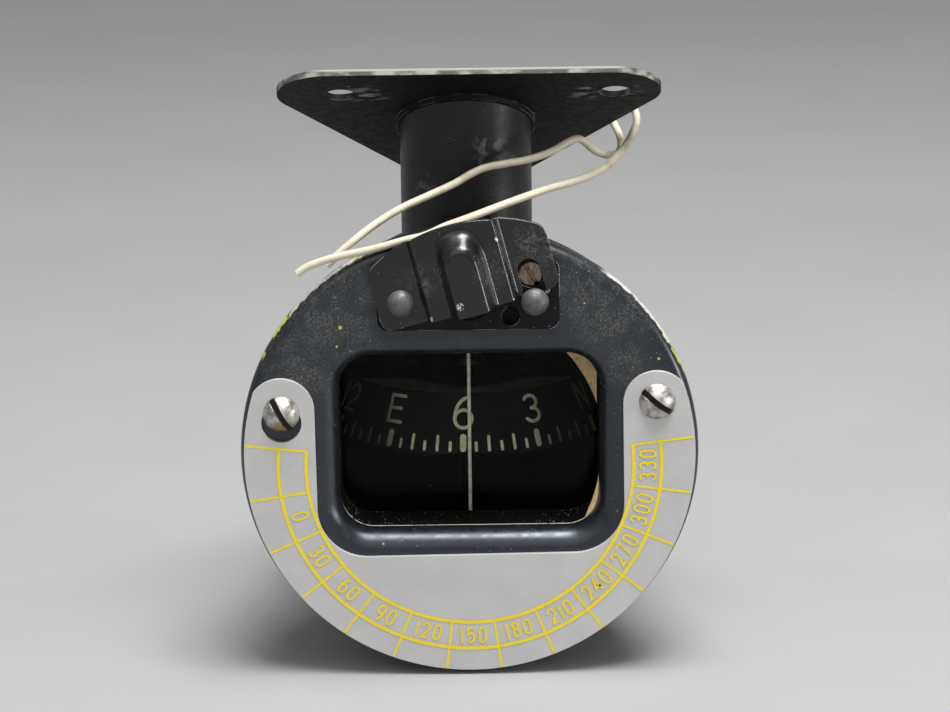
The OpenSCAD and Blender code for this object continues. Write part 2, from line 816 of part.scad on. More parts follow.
module front_bezel() {
    color("#2f3133") in_case() difference() {
        turned() union() {
            translate([0, rim_round]) square([face_r, rim_t - 2 * rim_round]);
            square([face_r - rim_round, rim_t]);
            translate([face_r - rim_round, rim_round]) circle(rim_round);
            translate([face_r - rim_round, rim_t - rim_round]) circle(rim_round);
            square([body_r, bezel_depth]);
        }
        window_space();
        for (side = [-1, 1]) {
            bar(side * adjuster_x, adjuster_z, -over, pocket_floor, pocket_r);
            bar(side * follower_x, follower_z, -over, pocket_floor, pocket_r);
            bar(side * adjuster_x, adjuster_z, 0, pocket_floor + trim_bearing_l, trim_bearing_r + run_fit);
            bar(side * follower_x, follower_z, 0, pocket_floor + trim_bearing_l, trim_bearing_r + run_fit);
            bar(side * stud_x, stud_z, -over, stud_tail_t + stud_tail_room, stud_tail_r + stud_tail_room);
        }
        card_screw_places() bar(0, 0, -over, card_insert_l + tap_room, card_insert_r + run_fit);
        bar(0, lamp_z, -over, lamp_floor, lamp_bore_r);
        translate([0, light_bore_y, window_top - over])
            cylinder(h = lamp_z - window_top, r = light_bore_r);
        bar(0, lead_channel_z, lamp_floor - lead_channel_r, bezel_depth + over, lead_channel_r);
        translate([0, lamp_floor - lead_channel_r, lamp_z])
            cylinder(h = lead_channel_z - lamp_z + lead_channel_r / 2, r = lead_channel_r);
        bezel_screw_places()
            bar(0, 0, bezel_depth - bezel_screw_l - tap_room, bezel_depth + over, bezel_screw_r + run_fit);
    }
}

module lens_gasket() {
    color("#c2a274") in_case()
        translate(gasket_slip * [cos(gasket_slip_turn), 0, sin(gasket_slip_turn)])
        slab(bezel_depth, lens_front) ring(gasket_r, gasket_bore_r);
}

module lens() {
    color("#c8d4d8", 0.3) in_case() bar(0, 0, lens_front, retainer_front, lens_r);
}

module lens_retainer() {
    color("#3a3c3e") in_case() difference() {
        slab(retainer_front, stack_end) ring(lens_r, bowl_r);
        lubber_space(run_fit);
    }
}

// The rod lies in two notches of the retainer ring, behind the lens
module lubber_space(gap) {
    translate([0, stack_end - lubber_d / 2, -lens_r + over])
        cylinder(h = 2 * (lens_r - over), r = lubber_d / 2 + gap);
}

module lubber_line() {
    color("#d8d4b8") in_case() lubber_space(0);
}

// Correction card

module card_screw_places() {
    for (k = [0, 1]) translate([(2 * k - 1) * card_screw_x, 0, card_screw_zs[k]]) children();
}

// The card's sheet without its holes
module card_blank() {
    difference() {
        union() {
            intersection() {
                circle(card_r, $fn = 128);
                translate([-card_r, -card_r]) square([2 * card_r, card_r + ear_z]);
            }
            for (side = [-1, 1]) intersection() {
                translate([side * card_screw_x, ear_z]) circle(ear_r);
                circle(card_r, $fn = 128);
            }
        }
        translate([-cutout_half_w, cutout_corner_r - cutout_drop])
            square([2 * cutout_half_w, 2 * card_r]);
        translate([cutout_corner_r - cutout_half_w, -cutout_drop])
            square([2 * (cutout_half_w - cutout_corner_r), card_r]);
        for (side = [-1, 1])
            translate([side * (cutout_half_w - cutout_corner_r), cutout_corner_r - cutout_drop])
                circle(cutout_corner_r);
    }
}

module correction_card() {
    color("#c3c3c0") in_case() slab(-card_t, 0) difference() {
        rotate(card_turn) card_blank();
        translate([card_screw_x, right_screw_z]) circle(card_shank_r + card_hole_room);
        translate([-card_screw_x, left_screw_z - left_hole_drop]) circle(left_hole_d / 2);
    }
}

module card_inserts() {
    color("#b5964f") in_case() card_screw_places() difference() {
        bar(0, 0, 0, card_insert_l, card_insert_r);
        bar(0, 0, -over, card_insert_l + over, card_tap_r);
    }
}

module correction_card_screws() {
    dome_r = (card_head_d * card_head_d / 4 + card_head_h * card_head_h) / (2 * card_head_h);
    color("#a9a8a2") in_case() for (k = [0, 1])
        translate([(2 * k - 1) * card_screw_x, -card_t, card_screw_zs[k]]) difference() {
            union() {
                bar(0, 0, 0, card_insert_l, card_shank_r);
                rotate([90, 0, 0]) rotate_extrude() intersection() {
                    translate([0, card_head_h - dome_r]) circle(dome_r, $fn = 96);
                    square([card_head_d, card_head_h]);
                }
            }
            rotate([0, card_slot_turn[k], 0])
                translate([-card_head_d, -card_head_h - over, -card_slot_w / 2])
                cube([2 * card_head_d, card_slot_h + over, card_slot_w]);
        }
}

// Compensator plate, studs and swing cover

// Outline of the plate or of the closed cover, with an arched top over a straight lower edge
module arched_outline(arc_r, top, low) {
    centre = top - arc_r;
    corner_arc_r = arc_r - plate_corner_top_r;
    top_x = plate_half_w - plate_corner_top_r;
    top_z = centre + sqrt(corner_arc_r * corner_arc_r - top_x * top_x);
    low_x = plate_half_w - plate_corner_low_r;
    low_z = low + plate_corner_low_r;
    intersection() {
        translate([0, centre]) circle(arc_r, $fn = 128);
        union() {
            translate([-top_x, low_z]) square([2 * top_x, top - low_z]);
            translate([-plate_half_w, low_z]) square([2 * plate_half_w, top_z - low_z]);
            translate([-low_x, low]) square([2 * low_x, 2 * plate_corner_low_r]);
            for (side = [-1, 1]) {
                translate([side * top_x, top_z]) circle(plate_corner_top_r);
                translate([side * low_x, low_z]) circle(plate_corner_low_r);
            }
        }
    }
}

module plate_outline() {
    arched_outline(plate_top_r, plate_top_r, plate_low);
}

module cover_outline() {
    arched_outline(cover_top_r, stud_z + cover_rise, stud_z - cover_fall);
}

module compensator_plate() {
    color("#1f2122") in_case() difference() {
        slab(-plate_t, 0) difference() {
            plate_outline();
            for (side = [-1, 1]) {
                translate([side * stud_x, stud_z]) circle(stud_r);
                translate([side * adjuster_x, adjuster_z]) circle(adjuster_head_r + run_fit);
            }
            translate([0, lamp_z]) circle(lamp_port_r);
            translate(vent) circle(vent_r);
        }
        for (side = [-1, 1])
            bar(side * follower_x, follower_z, -trim_point_l - trim_play, over, trim_point_r + run_fit);
    }
}

// A dome-headed stud, riveted into the compensator plate
module stud(x) {
    head_r = stud_head_d / 2;
    dome_r = (head_r * head_r + stud_dome_h * stud_dome_h) / (2 * stud_dome_h);
    in_case() translate([x, 0, stud_z]) {
        bar(0, 0, -stud_neck, stud_tail_t, stud_r);
        bar(0, 0, 0, stud_tail_t, stud_tail_r);
        translate([0, -stud_neck, 0]) rotate([90, 0, 0]) rotate_extrude() intersection() {
            translate([0, stud_dome_h - dome_r]) circle(dome_r, $fn = 96);
            square([stud_head_d, stud_dome_h]);
        }
    }
}

module cover_pivot_stud() {
    color("#4a4c4e") stud(-stud_x);
}

module cover_latch_stud() {
    color("#4a4c4e") stud(stud_x);
}

module cover_washer() {
    color("#8f8f8c") in_case() translate([-stud_x, 0, stud_z])
        slab(-cover_back + washer_play, -plate_t) ring(washer_r, stud_r + run_fit);
}

// Section of the cover's sheet from left to right, as a band
module cover_section() {
    front = [
        [cover_left, -cover_front], [raise_left, -cover_front], [raise_left + raise_run, -plateau_front],
        [raise_right - raise_run, -plateau_front], [raise_right, -cover_front], [cover_right, -cover_front]
    ];
    back = [for (k = [len(front) - 1 : -1 : 0]) front[k] + [0, cover_t]];
    polygon(concat(front, back));
}

// The hump over the lamp, drawn in by inset on every side
module hump(inset) {
    low = -cover_fall;
    end = hump_top - hump_base_r;
    base = plateau_front - cover_t / 2;
    rise = hump_h + cover_t / 2 - inset;
    foot_r = hump_base_r - inset;
    nose_r = hump_front_r - inset / 2;
    translate([hump_x, -base, 0]) {
        translate([0, 0, low - over]) linear_extrude(end - low + over)
            polygon([[-foot_r, 0], [-nose_r, -rise], [nose_r, -rise], [foot_r, 0]]);
        translate([0, 0, end]) rotate([90, 0, 0]) cylinder(h = rise, r1 = foot_r, r2 = nose_r);
    }
}

module cover_shape() {
    reach = plateau_front + hump_h + over;
    intersection() {
        difference() {
            union() {
                translate([0, 0, -2 * plate_half_w]) linear_extrude(4 * plate_half_w) cover_section();
                hump(0);
            }
            translate([0, cover_t, 0]) hump(cover_t);
            bar(0, 0, -reach, 0, stud_r + run_fit);
            bar(notch_x, 0, -reach, 0, notch_w / 2);
            translate([notch_x - notch_w / 2, -reach, -2 * plate_half_w])
                cube([notch_w, reach, 2 * plate_half_w]);
        }
        translate([stud_x, 0, -stud_z]) slab(-reach, 0) cover_outline();
    }
}

module swing_cover() {
    color("#232527") in_case() translate([-stud_x, 0, stud_z]) rotate([0, -cover_open, 0]) cover_shape();
}

// Compensator gear trains

module gear(start) {
    slab(gear_front, gear_back) union() {
        circle(gear_root_r);
        for (k = [0 : gear_teeth - 1]) rotate(start + k * 360 / gear_teeth) polygon([
            [0, 0],
            gear_root_r * [cos(gear_root_half), -sin(gear_root_half)],
            gear_tip_r * [cos(gear_tip_half), -sin(gear_tip_half)],
            gear_tip_r * [cos(gear_tip_half), sin(gear_tip_half)],
            gear_root_r * [cos(gear_root_half), sin(gear_root_half)]
        ]);
    }
}

// Shaft with its gear, slotted when an adjuster; side is -1 at the left and 1 at the right
module adjuster(side) {
    line = side > 0 ? gear_line : 180 - gear_line;
    in_case() translate([side * adjuster_x, 0, adjuster_z]) difference() {
        union() {
            bar(0, 0, adjuster_head_front, adjuster_head_back, adjuster_head_r);
            bar(0, 0, 0, pocket_floor - trim_play, trim_shaft_r);
            bar(0, 0, gear_back, pocket_floor + trim_bearing_l - trim_play, trim_bearing_r);
            gear(line);
        }
        rotate([0, adjuster_slot_turn, 0])
            translate([-adjuster_head_r - over, adjuster_head_front - over, -adjuster_slot_w / 2])
            cube([2 * adjuster_head_r + 2 * over, adjuster_slot_h + over, adjuster_slot_w]);
        trim_magnet(adjuster_magnet_front, 0);
    }
}

module follower(side) {
    line = side > 0 ? gear_line : 180 - gear_line;
    in_case() translate([side * follower_x, 0, follower_z]) difference() {
        union() {
            bar(0, 0, -trim_point_l, gear_front, trim_point_r);
            bar(0, 0, trim_neck_front, pocket_floor + trim_bearing_l - trim_play, trim_bearing_r);
            bar(0, 0, follower_magnet_front - trim_sleeve, pocket_floor - trim_play, trim_shaft_r);
            gear(line + 180 + 180 / gear_teeth);
        }
        trim_magnet(follower_magnet_front, 0);
    }
}

// A small bar magnet pressed across a shaft
module trim_magnet(front, turn) {
    rotate([0, turn, 0]) translate([-trim_magnet_w / 2, front, -trim_magnet_l / 2])
        cube([trim_magnet_w, trim_magnet_w, trim_magnet_l]);
}

module placed_magnet(x, z, front) {
    color("#6d6f72") in_case() translate([x, 0, z]) trim_magnet(front, 0);
}

module ns_adjuster() {
    color("#a08a5a") adjuster(-1);
}

module ns_adjuster_magnet() {
    placed_magnet(-adjuster_x, adjuster_z, adjuster_magnet_front);
}

module ns_follower() {
    color("#a08a5a") follower(-1);
}

module ns_follower_magnet() {
    placed_magnet(-follower_x, follower_z, follower_magnet_front);
}

module ew_adjuster() {
    color("#a08a5a") adjuster(1);
}

module ew_adjuster_magnet() {
    placed_magnet(adjuster_x, adjuster_z, adjuster_magnet_front);
}

module ew_follower() {
    color("#a08a5a") follower(1);
}

module ew_follower_magnet() {
    placed_magnet(follower_x, follower_z, follower_magnet_front);
}

// Lamp

module lamp_socket() {
    front = lamp_floor - lamp_socket_l;
    color("#9a9a96") in_case() difference() {
        bar(0, lamp_z, front, lamp_floor, lamp_bore_r - seat_fit);
        bar(0, lamp_z, front - over, lamp_floor - lamp_socket_wall, lamp_bulb_r + run_fit);
        translate([0, lamp_floor - lead_channel_r, lamp_z]) cylinder(h = lamp_bore_r, r = lead_channel_r);
        translate([0, light_bore_y, lamp_z - lamp_bore_r - over])
            cylinder(h = lamp_bore_r, r = light_bore_r);
    }
}

module lamp_bulb() {
    back = lamp_floor - lamp_socket_wall;
    color("#e8e2d0", 0.6) in_case() translate([0, back - lamp_bulb_l, lamp_z]) rotate([-90, 0, 0])
        rotate_extrude() union() {
            translate([0, lamp_bulb_r]) square([lamp_bulb_r, lamp_bulb_l - lamp_bulb_r]);
            intersection() {
                translate([0, lamp_bulb_r]) circle(lamp_bulb_r);
                square(2 * lamp_bulb_r);
            }
        }
}

module lamp_filter() {
    color("#8c1f1a") in_case() translate([0, light_bore_y, window_top + filter_rise])
        cylinder(h = filter_t, r = light_bore_r - run_fit);
}

// Pivot, float and dial

module pivot_post() {
    color("#a08a5a") at_pivot() difference() {
        union() {
            translate([0, 0, boss_top - post_stud_l + post_play]) cylinder(h = post_stud_l, r = post_stud_r);
            translate([0, 0, boss_top]) cylinder(h = post_foot_t, r = post_foot_r);
            translate([0, 0, boss_top]) cylinder(h = post_top - boss_top, r = post_d / 2);
            translate([0, 0, post_top - post_head_h]) cylinder(h = post_head_h, r = post_head_r);
        }
        translate([0, 0, jewel_top - jewel_h]) cylinder(h = jewel_h, r = jewel_r);
    }
}

module jewel() {
    depth = jewel_top + jewel_deep;
    color("#a8323c") at_pivot() difference() {
        translate([0, 0, jewel_top - jewel_h]) cylinder(h = jewel_h, r = jewel_r);
        translate([0, 0, -jewel_deep]) cylinder(h = depth, r1 = 0, r2 = depth * tan(jewel_cone));
    }
}

// Hard ball that rests in the jewel, centred on the pivot point
module pivot_tip() {
    color("#c9c9c6") at_pivot() sphere(tip_r);
}

module pivot_pin() {
    color("#8a8c8e") at_pivot() difference() {
        union() {
            translate([0, 0, socket_low])
                cylinder(h = pin_point_l - socket_low, r1 = socket_r, r2 = pin_d / 2);
            translate([0, 0, pin_point_l]) cylinder(h = pin_top - pin_point_l, r = pin_d / 2);
        }
        sphere(tip_r + tip_play);
    }
}

module float_hub() {
    color("#b5964f") at_pivot() difference() {
        union() {
            translate([0, 0, hub_low]) cylinder(h = hub_flange_t, r = hub_flange_r);
            translate([0, 0, hub_low]) cylinder(h = hub_top - hub_low, r = hub_r);
        }
        translate([0, 0, hub_low - over])
            cylinder(h = pin_top - hub_low + over + run_fit, r = pin_d / 2 + run_fit);
    }
}

module float_shell() {
    color("#7d8286") at_pivot() rotate_extrude() difference() {
        translate([well_r, float_low + float_t]) square([float_r - well_r, float_h - float_t]);
        translate([well_r + float_t, float_low])
            square([float_r - well_r - 2 * float_t, float_h - float_t]);
    }
}

module float_base() {
    color("#7d8286") at_pivot() translate([0, 0, float_low]) linear_extrude(float_t) ring(float_r, well_r);
}

module dial() {
    color("#1a1b1c") at_pivot() rotate_extrude($fn = 128) polygon([
        [hub_r + run_fit, float_top], [dial_top_r - dial_t / 2, float_top],
        [dial_r - dial_t / cos(dial_cone), -dial_hang], [dial_r, -dial_hang],
        [dial_top_r, dial_top], [hub_r + run_fit, dial_top]
    ]);
}

module magnet_places() {
    for (side = [-1, 1]) translate([side * magnet_gap / 2, 0, 0]) children();
}

module card_magnets() {
    color("#6d6f72") at_pivot() magnet_places()
        translate([-magnet_w / 2, -magnet_l / 2, magnet_top - magnet_h])
        cube([magnet_w, magnet_l, magnet_h]);
}

module magnet_hangers() {
    color("#b5964f") at_pivot() magnet_places()
        translate([-hanger_t / 2, -hanger_l / 2, magnet_top]) cube([hanger_t, hanger_l, hanger_h]);
}

mounting_flange();
mounting_tube();
tube_screws();
lead_grommet();
lead_wire_lower();
lead_wire_upper();
case_bowl();
front_bezel();
bezel_screws();
lens_gasket();
lens();
lens_retainer();
lubber_line();
correction_card();
correction_card_screws();
card_inserts();
compensator_plate();
cover_pivot_stud();
cover_latch_stud();
cover_washer();
swing_cover();
ns_adjuster();
ns_adjuster_magnet();
ns_follower();
ns_follower_magnet();
ew_adjuster();
ew_adjuster_magnet();
ew_follower();
ew_follower_magnet();
lamp_socket();
lamp_bulb();
lamp_filter();
pivot_post();
jewel();
pivot_tip();
pivot_pin();
float_hub();
float_shell();
float_base();
dial();
card_magnets();
magnet_hangers();
expansion_diaphragm();
rear_cover();
rear_cover_screws();
filler_plug();
filler_seal();
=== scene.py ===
"""Aircraft compass on its slanted flange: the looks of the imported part, from the photograph's viewpoint."""

import json
import math

import bpy
from mathutils import Matrix, Vector


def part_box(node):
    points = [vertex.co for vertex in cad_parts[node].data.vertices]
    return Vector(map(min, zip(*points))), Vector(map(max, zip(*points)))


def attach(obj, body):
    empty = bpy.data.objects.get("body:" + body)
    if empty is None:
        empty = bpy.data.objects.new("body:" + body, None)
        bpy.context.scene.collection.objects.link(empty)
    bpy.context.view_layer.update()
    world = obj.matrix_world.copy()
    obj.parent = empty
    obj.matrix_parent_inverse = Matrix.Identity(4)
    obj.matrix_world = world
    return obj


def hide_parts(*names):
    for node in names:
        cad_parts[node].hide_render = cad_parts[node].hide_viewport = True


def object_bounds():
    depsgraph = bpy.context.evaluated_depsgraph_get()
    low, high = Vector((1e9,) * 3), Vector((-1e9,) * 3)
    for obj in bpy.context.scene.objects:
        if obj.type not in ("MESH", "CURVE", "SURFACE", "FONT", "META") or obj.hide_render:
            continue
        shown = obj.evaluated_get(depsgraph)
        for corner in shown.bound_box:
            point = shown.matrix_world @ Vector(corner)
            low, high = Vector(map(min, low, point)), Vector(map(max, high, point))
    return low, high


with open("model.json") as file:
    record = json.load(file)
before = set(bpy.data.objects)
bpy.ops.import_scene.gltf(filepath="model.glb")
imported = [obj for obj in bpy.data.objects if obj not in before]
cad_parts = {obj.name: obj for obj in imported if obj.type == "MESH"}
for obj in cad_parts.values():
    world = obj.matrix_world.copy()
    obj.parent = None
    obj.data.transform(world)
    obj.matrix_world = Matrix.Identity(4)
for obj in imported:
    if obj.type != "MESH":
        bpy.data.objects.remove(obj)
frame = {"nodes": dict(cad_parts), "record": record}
cad_low, cad_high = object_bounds()

# Every length in this script is in millimetres, and MM turns it into Blender's metres.
MM = 0.001
scene = bpy.context.scene
scene.view_settings.view_transform = "Standard"


def node_box(node):
    """Lowest and highest corner of a CAD node, in millimetres."""
    low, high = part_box(node)
    return low / MM, high / MM


def eased(low, high, value, ease=0.35):
    """0 below low and 1 above high, straight between them but for a rounded share at each end."""
    t = min(max((value - low) / (high - low), 0.0), 1.0)
    end = min(t, 1 - t)
    rise = end ** 2 / (2 * ease) if end < ease else end - ease / 2
    rise /= 1 - ease
    return rise if t < 0.5 else 1 - rise


# Camera

PHOTO_SIZE = (950, 712)
FOCAL_PIXELS = 3332
SENSOR_WIDTH = 36
EYE_DISTANCE = 600
EYE_ELEVATION = math.radians(16.3)
CAMERA_ROLL = math.radians(-0.75)
FACE_PIXEL = (469.8, 455.2)
NEAREST_SEEN = 10

bezel_low, bezel_high = node_box("front_bezel")
face_r = (bezel_high.x - bezel_low.x) / 2
face_centre = Vector(((bezel_low.x + bezel_high.x) / 2, bezel_low.y, bezel_low.z + face_r))


def on_face(x, ahead, z):
    """A place measured from the face's centre, ahead of the face towards the camera."""
    return face_centre + Vector((x, -ahead, z))


def make_camera():
    """Aims the camera so that the face's centre falls on its pixel of the photograph."""
    away = Vector((0, -math.cos(EYE_ELEVATION), math.sin(EYE_ELEVATION)))
    eye = face_centre + EYE_DISTANCE * away
    towards_face = (-away).to_track_quat("-Z", "Y").to_matrix()
    face_ray = Vector((
        FACE_PIXEL[0] - PHOTO_SIZE[0] / 2,
        PHOTO_SIZE[1] / 2 - FACE_PIXEL[1],
        -FOCAL_PIXELS,
    ))
    off_centre = face_ray.rotation_difference(Vector((0, 0, -1))).to_matrix()
    turn = towards_face @ Matrix.Rotation(CAMERA_ROLL, 3, "Z") @ off_centre
    data = bpy.data.cameras.new("camera")
    data.sensor_width = SENSOR_WIDTH
    data.lens = FOCAL_PIXELS * SENSOR_WIDTH / PHOTO_SIZE[0]
    data.clip_start = NEAREST_SEEN * MM
    camera = bpy.data.objects.new("camera", data)
    camera.matrix_world = Matrix.Translation(eye * MM) @ turn.to_4x4()
    scene.collection.objects.link(camera)
    scene.camera = camera


make_camera()


# Lamp leads, along the routes of the CAD leads, with x measured from the tube's axis

LEAD_D = 1.4
LEAD_STEPS = 8
LEAD_ROUNDNESS = 6
LOWER_ROUTE = [
    (5.4, -0.4, 1.3), (9.5, -0.4, 1.3), (14, -0.5, 1.4), (18.5, -0.5, 1.4), (23, -0.6, 1.4),
    (27, -0.7, 1.5), (29.5, -0.8, 1.6), (31.2, -1.4, 0.8), (31.8, -2.6, -1), (31.1, -4, -2.9),
    (29.8, -6.1, -4.8), (28, -8.5, -6.6), (26, -11, -8), (23.5, -13.5, -8.9), (19.8, -16, -9.8),
    (15.2, -18.5, -10.5), (11.5, -21, -11.2), (6.9, -24.4, -12.1), (2.4, -28, -13),
    (-1.2, -31.8, -13.5), (-4, -34.6, -13.9), (-7.4, -36, -15.1), (-11, -36.2, -15.9),
    (-14.6, -36.1, -16.9), (-18.2, -36, -17.8), (-22.5, -35.8, -18.7), (-26.4, -35.8, -19.8),
    (-28.8, -35.8, -20.8), (-30.2, -35.8, -21.8),
]
UPPER_ROUTE = [
    (5.2, 1.8, 0.1), (9.5, 2.5, -0.3), (14, 3.3, -0.8), (18.5, 4.1, -1.3), (22.5, 4.9, -1.7),
    (25.2, 5.3, -1.9), (27.2, 5.1, -2.4), (28.3, 3.8, -3.8), (28.9, 1.4, -5.2), (28.9, -1.4, -6.2),
    (28.2, -4.2, -6.9), (26.6, -6.6, -6.9), (24.9, -8.3, -6.2), (23.3, -9.6, -5.1), (21.9, -10.7, -3.6),
    (20.5, -11.5, -2.8), (18.9, -12, -3.2), (16.3, -13, -4.5), (11.7, -14.2, -5.9), (7.1, -14.8, -6.6),
    (3.5, -15.3, -7.2), (1.1, -15.8, -8.1), (-2, -17.2, -9.6), (-6.6, -20.2, -11.1),
    (-12, -23.5, -12.9), (-15.5, -27.5, -14.2), (-18.3, -30.5, -15.6), (-20.6, -32.7, -17),
    (-22.4, -33.4, -18.4), (-25, -33.8, -20.9),
]


def make_lead(name, route, node):
    """A round lead on one smooth curve."""
    route = [Vector((face_centre.x + x, y, z)) for x, y, z in route]
    data = bpy.data.curves.new(name, "CURVE")
    data.dimensions = "3D"
    data.resolution_u = LEAD_STEPS
    data.bevel_depth = 1
    data.bevel_resolution = LEAD_ROUNDNESS
    data.use_fill_caps = True
    spline = data.splines.new("BEZIER")
    spline.bezier_points.add(len(route) - 1)
    for knot, place in zip(spline.bezier_points, route):
        knot.co = place * MM
        knot.radius = LEAD_D / 2 * MM
        knot.handle_left_type = knot.handle_right_type = "AUTO"
    lead = bpy.data.objects.new(name, data)
    scene.collection.objects.link(lead)
    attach(lead, "case")
    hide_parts(node)
    return lead


leads = [
    make_lead("lamp_lead_lower", LOWER_ROUTE, "lead_wire_lower"),
    make_lead("lamp_lead_upper", UPPER_ROUTE, "lead_wire_upper"),
]


# Materials


class Finish:
    """A Principled material under construction. Its texture coordinates are the part's own frame."""

    def __init__(self, name, **constants):
        self.material = bpy.data.materials.new(name)
        self.material.use_nodes = True
        self.tree = self.material.node_tree
        self.shader = self.tree.nodes["Principled BSDF"]
        self.place = self.node("ShaderNodeTexCoord").outputs["Object"]
        self.set(**constants)

    def node(self, kind, **settings):
        made = self.tree.nodes.new(kind)
        for key, value in settings.items():
            setattr(made, key, value)
        return made

    def put(self, socket, value):
        if isinstance(value, bpy.types.NodeSocket):
            self.tree.links.new(value, socket)
        else:
            socket.default_value = value

    def set(self, **values):
        """Shader inputs by name, written with underscores for spaces; a colour has three parts."""
        for key, value in values.items():
            socket = self.shader.inputs[key.replace("_", " ")]
            if isinstance(value, tuple) and len(value) == 3:
                value = (*value, 1)
            self.put(socket, value)

    def math(self, operation, first, second=0.0):
        made = self.node("ShaderNodeMath", operation=operation)
        self.put(made.inputs[0], first)
        self.put(made.inputs[1], second)
        return made.outputs[0]

    def ramp(self, value, low, high, to_low=0.0, to_high=1.0):
        """A smooth step from to_low to to_high as value goes from low to high."""
        made = self.node("ShaderNodeMapRange", interpolation_type="SMOOTHSTEP")
        for socket, given in zip(made.inputs, (value, low, high, to_low, to_high)):
            self.put(socket, given)
        return made.outputs[0]

    def mix(self, share, first, second):
        """A colour between first, at share 0, and second, at share 1."""
        made = self.node("ShaderNodeMix", data_type="RGBA")
        share_in, first_in, second_in = made.inputs[0], made.inputs[6], made.inputs[7]
        for socket, given in ((share_in, share), (first_in, first), (second_in, second)):
            self.put(socket, (*given, 1) if isinstance(given, tuple) else given)
        return made.outputs[2]

    def stretched(self, scale):
        """The coordinates, scaled separately along x, y and z."""
        made = self.node("ShaderNodeMapping")
        self.put(made.inputs["Vector"], self.place)
        self.put(made.inputs["Scale"], scale)
        return made.outputs[0]

    def noise(self, size, detail=3.0, coordinates=None):
        """Noise from about 0.3 to 0.7, with features of that size in millimetres."""
        made = self.node("ShaderNodeTexNoise")
        self.put(made.inputs["Vector"], coordinates or self.place)
        self.put(made.inputs["Scale"], 1 / (size * MM))
        self.put(made.inputs["Detail"], detail)
        return made.outputs["Fac"]

    def specks(self, spacing, size, share):
        """Scattered round specks of that size, on that share of cells that are spacing wide."""
        made = self.node("ShaderNodeTexVoronoi")
        self.put(made.inputs["Vector"], self.place)
        self.put(made.inputs["Scale"], 1 / (spacing * MM))
        chosen = self.node("ShaderNodeSeparateColor")
        self.put(chosen.inputs[0], made.outputs["Color"])
        kept = self.math("LESS_THAN", chosen.outputs[0], share)
        radius = size / spacing / 2
        return self.math("MULTIPLY", kept, self.ramp(made.outputs["Distance"], radius, radius * 0.6))

    def spot(self, centre, radius, core=0.5):
        """1 within core times radius of a point in millimetres, falling to 0 at the radius."""
        made = self.node("ShaderNodeVectorMath", operation="DISTANCE")
        self.put(made.inputs[0], self.place)
        self.put(made.inputs[1], Vector(centre) * MM)
        return self.ramp(made.outputs["Value"], radius * MM, radius * core * MM)

    def rounded(self, radius):
        """A normal that rounds edges off by radius."""
        made = self.node("ShaderNodeBevel", samples=8)
        self.put(made.inputs["Radius"], radius * MM)
        return made.outputs[0]

    def edges(self, radius):
        """1 on edges, falling to 0 about radius away from them."""
        made = self.node("ShaderNodeVectorMath", operation="DOT_PRODUCT")
        self.put(made.inputs[0], self.rounded(radius))
        self.put(made.inputs[1], self.node("ShaderNodeNewGeometry").outputs["Normal"])
        return self.ramp(made.outputs["Value"], 0.99, 0.8)

    def part(self, axis):
        """One of the coordinates X, Y and Z, in metres."""
        made = self.node("ShaderNodeSeparateXYZ")
        self.put(made.inputs[0], self.place)
        return made.outputs[axis]

    def aside(self):
        """Distance to the left or right of the face's axis, in metres."""
        return self.math("ABSOLUTE", self.math("SUBTRACT", self.part("X"), face_centre.x * MM))

    def facing(self, way):
        """Cosine of the angle between the surface's normal and a direction."""
        made = self.node("ShaderNodeVectorMath", operation="DOT_PRODUCT")
        self.put(made.inputs[0], self.node("ShaderNodeNewGeometry").outputs["Normal"])
        self.put(made.inputs[1], way)
        return made.outputs["Value"]

    def band(self, value, low, high, soft):
        """1 between low and high, falling to 0 over soft at both ends."""
        return self.both(self.ramp(value, low - soft, low), self.ramp(value, high + soft, high))

    def round_face(self):
        """Distance from the face's centre in millimetres, and degrees anticlockwise from the right."""
        x = self.math("SUBTRACT", self.part("X"), face_centre.x * MM)
        z = self.math("SUBTRACT", self.part("Z"), face_centre.z * MM)
        squares = self.math("ADD", self.math("MULTIPLY", x, x), self.math("MULTIPLY", z, z))
        radius = self.math("DIVIDE", self.math("SQRT", squares), MM)
        return radius, self.math("DEGREES", self.math("ARCTAN2", z, x))

    def groove(self, centre, turn, width):
        """1 on a line through a place of the face, falling to the lower right by turn degrees."""
        fall = math.radians(turn)
        x = self.math("SUBTRACT", self.part("X"), centre.x * MM)
        z = self.math("SUBTRACT", self.part("Z"), centre.z * MM)
        sideways = self.math("MULTIPLY", x, math.sin(fall))
        upwards = self.math("MULTIPLY", z, math.cos(fall))
        across = self.math("ABSOLUTE", self.math("ADD", sideways, upwards))
        return self.ramp(across, width / 2 * MM, width * 0.42 * MM)

    def spots(self, places, core=0.5):
        """The spots at several (x, ahead, z, radius), measured from the face's centre."""
        masks = [self.spot(on_face(x, ahead, z), radius, core) for x, ahead, z, radius in places]
        return self.most(*masks)

    def bump(self, height, depth, normal=None):
        """Relief of that depth in millimetres, over the given normal."""
        made = self.node("ShaderNodeBump")
        self.put(made.inputs["Strength"], 1.0)
        self.put(made.inputs["Distance"], depth * MM)
        self.put(made.inputs["Height"], height)
        if normal:
            self.put(made.inputs["Normal"], normal)
        self.set(Normal=made.outputs[0])

    def most(self, *masks):
        """The largest of several masks."""
        top = masks[0]
        for mask in masks[1:]:
            top = self.math("MAXIMUM", top, mask)
        return top

    def both(self, first, second):
        """The overlap of two masks."""
        return self.math("MULTIPLY", first, second)


BARE_ALUMINIUM = (0.5, 0.5, 0.49)
PRIMER = (0.42, 0.45, 0.05)
DUST = (0.36, 0.31, 0.22)
FILM = (0.11, 0.105, 0.093)


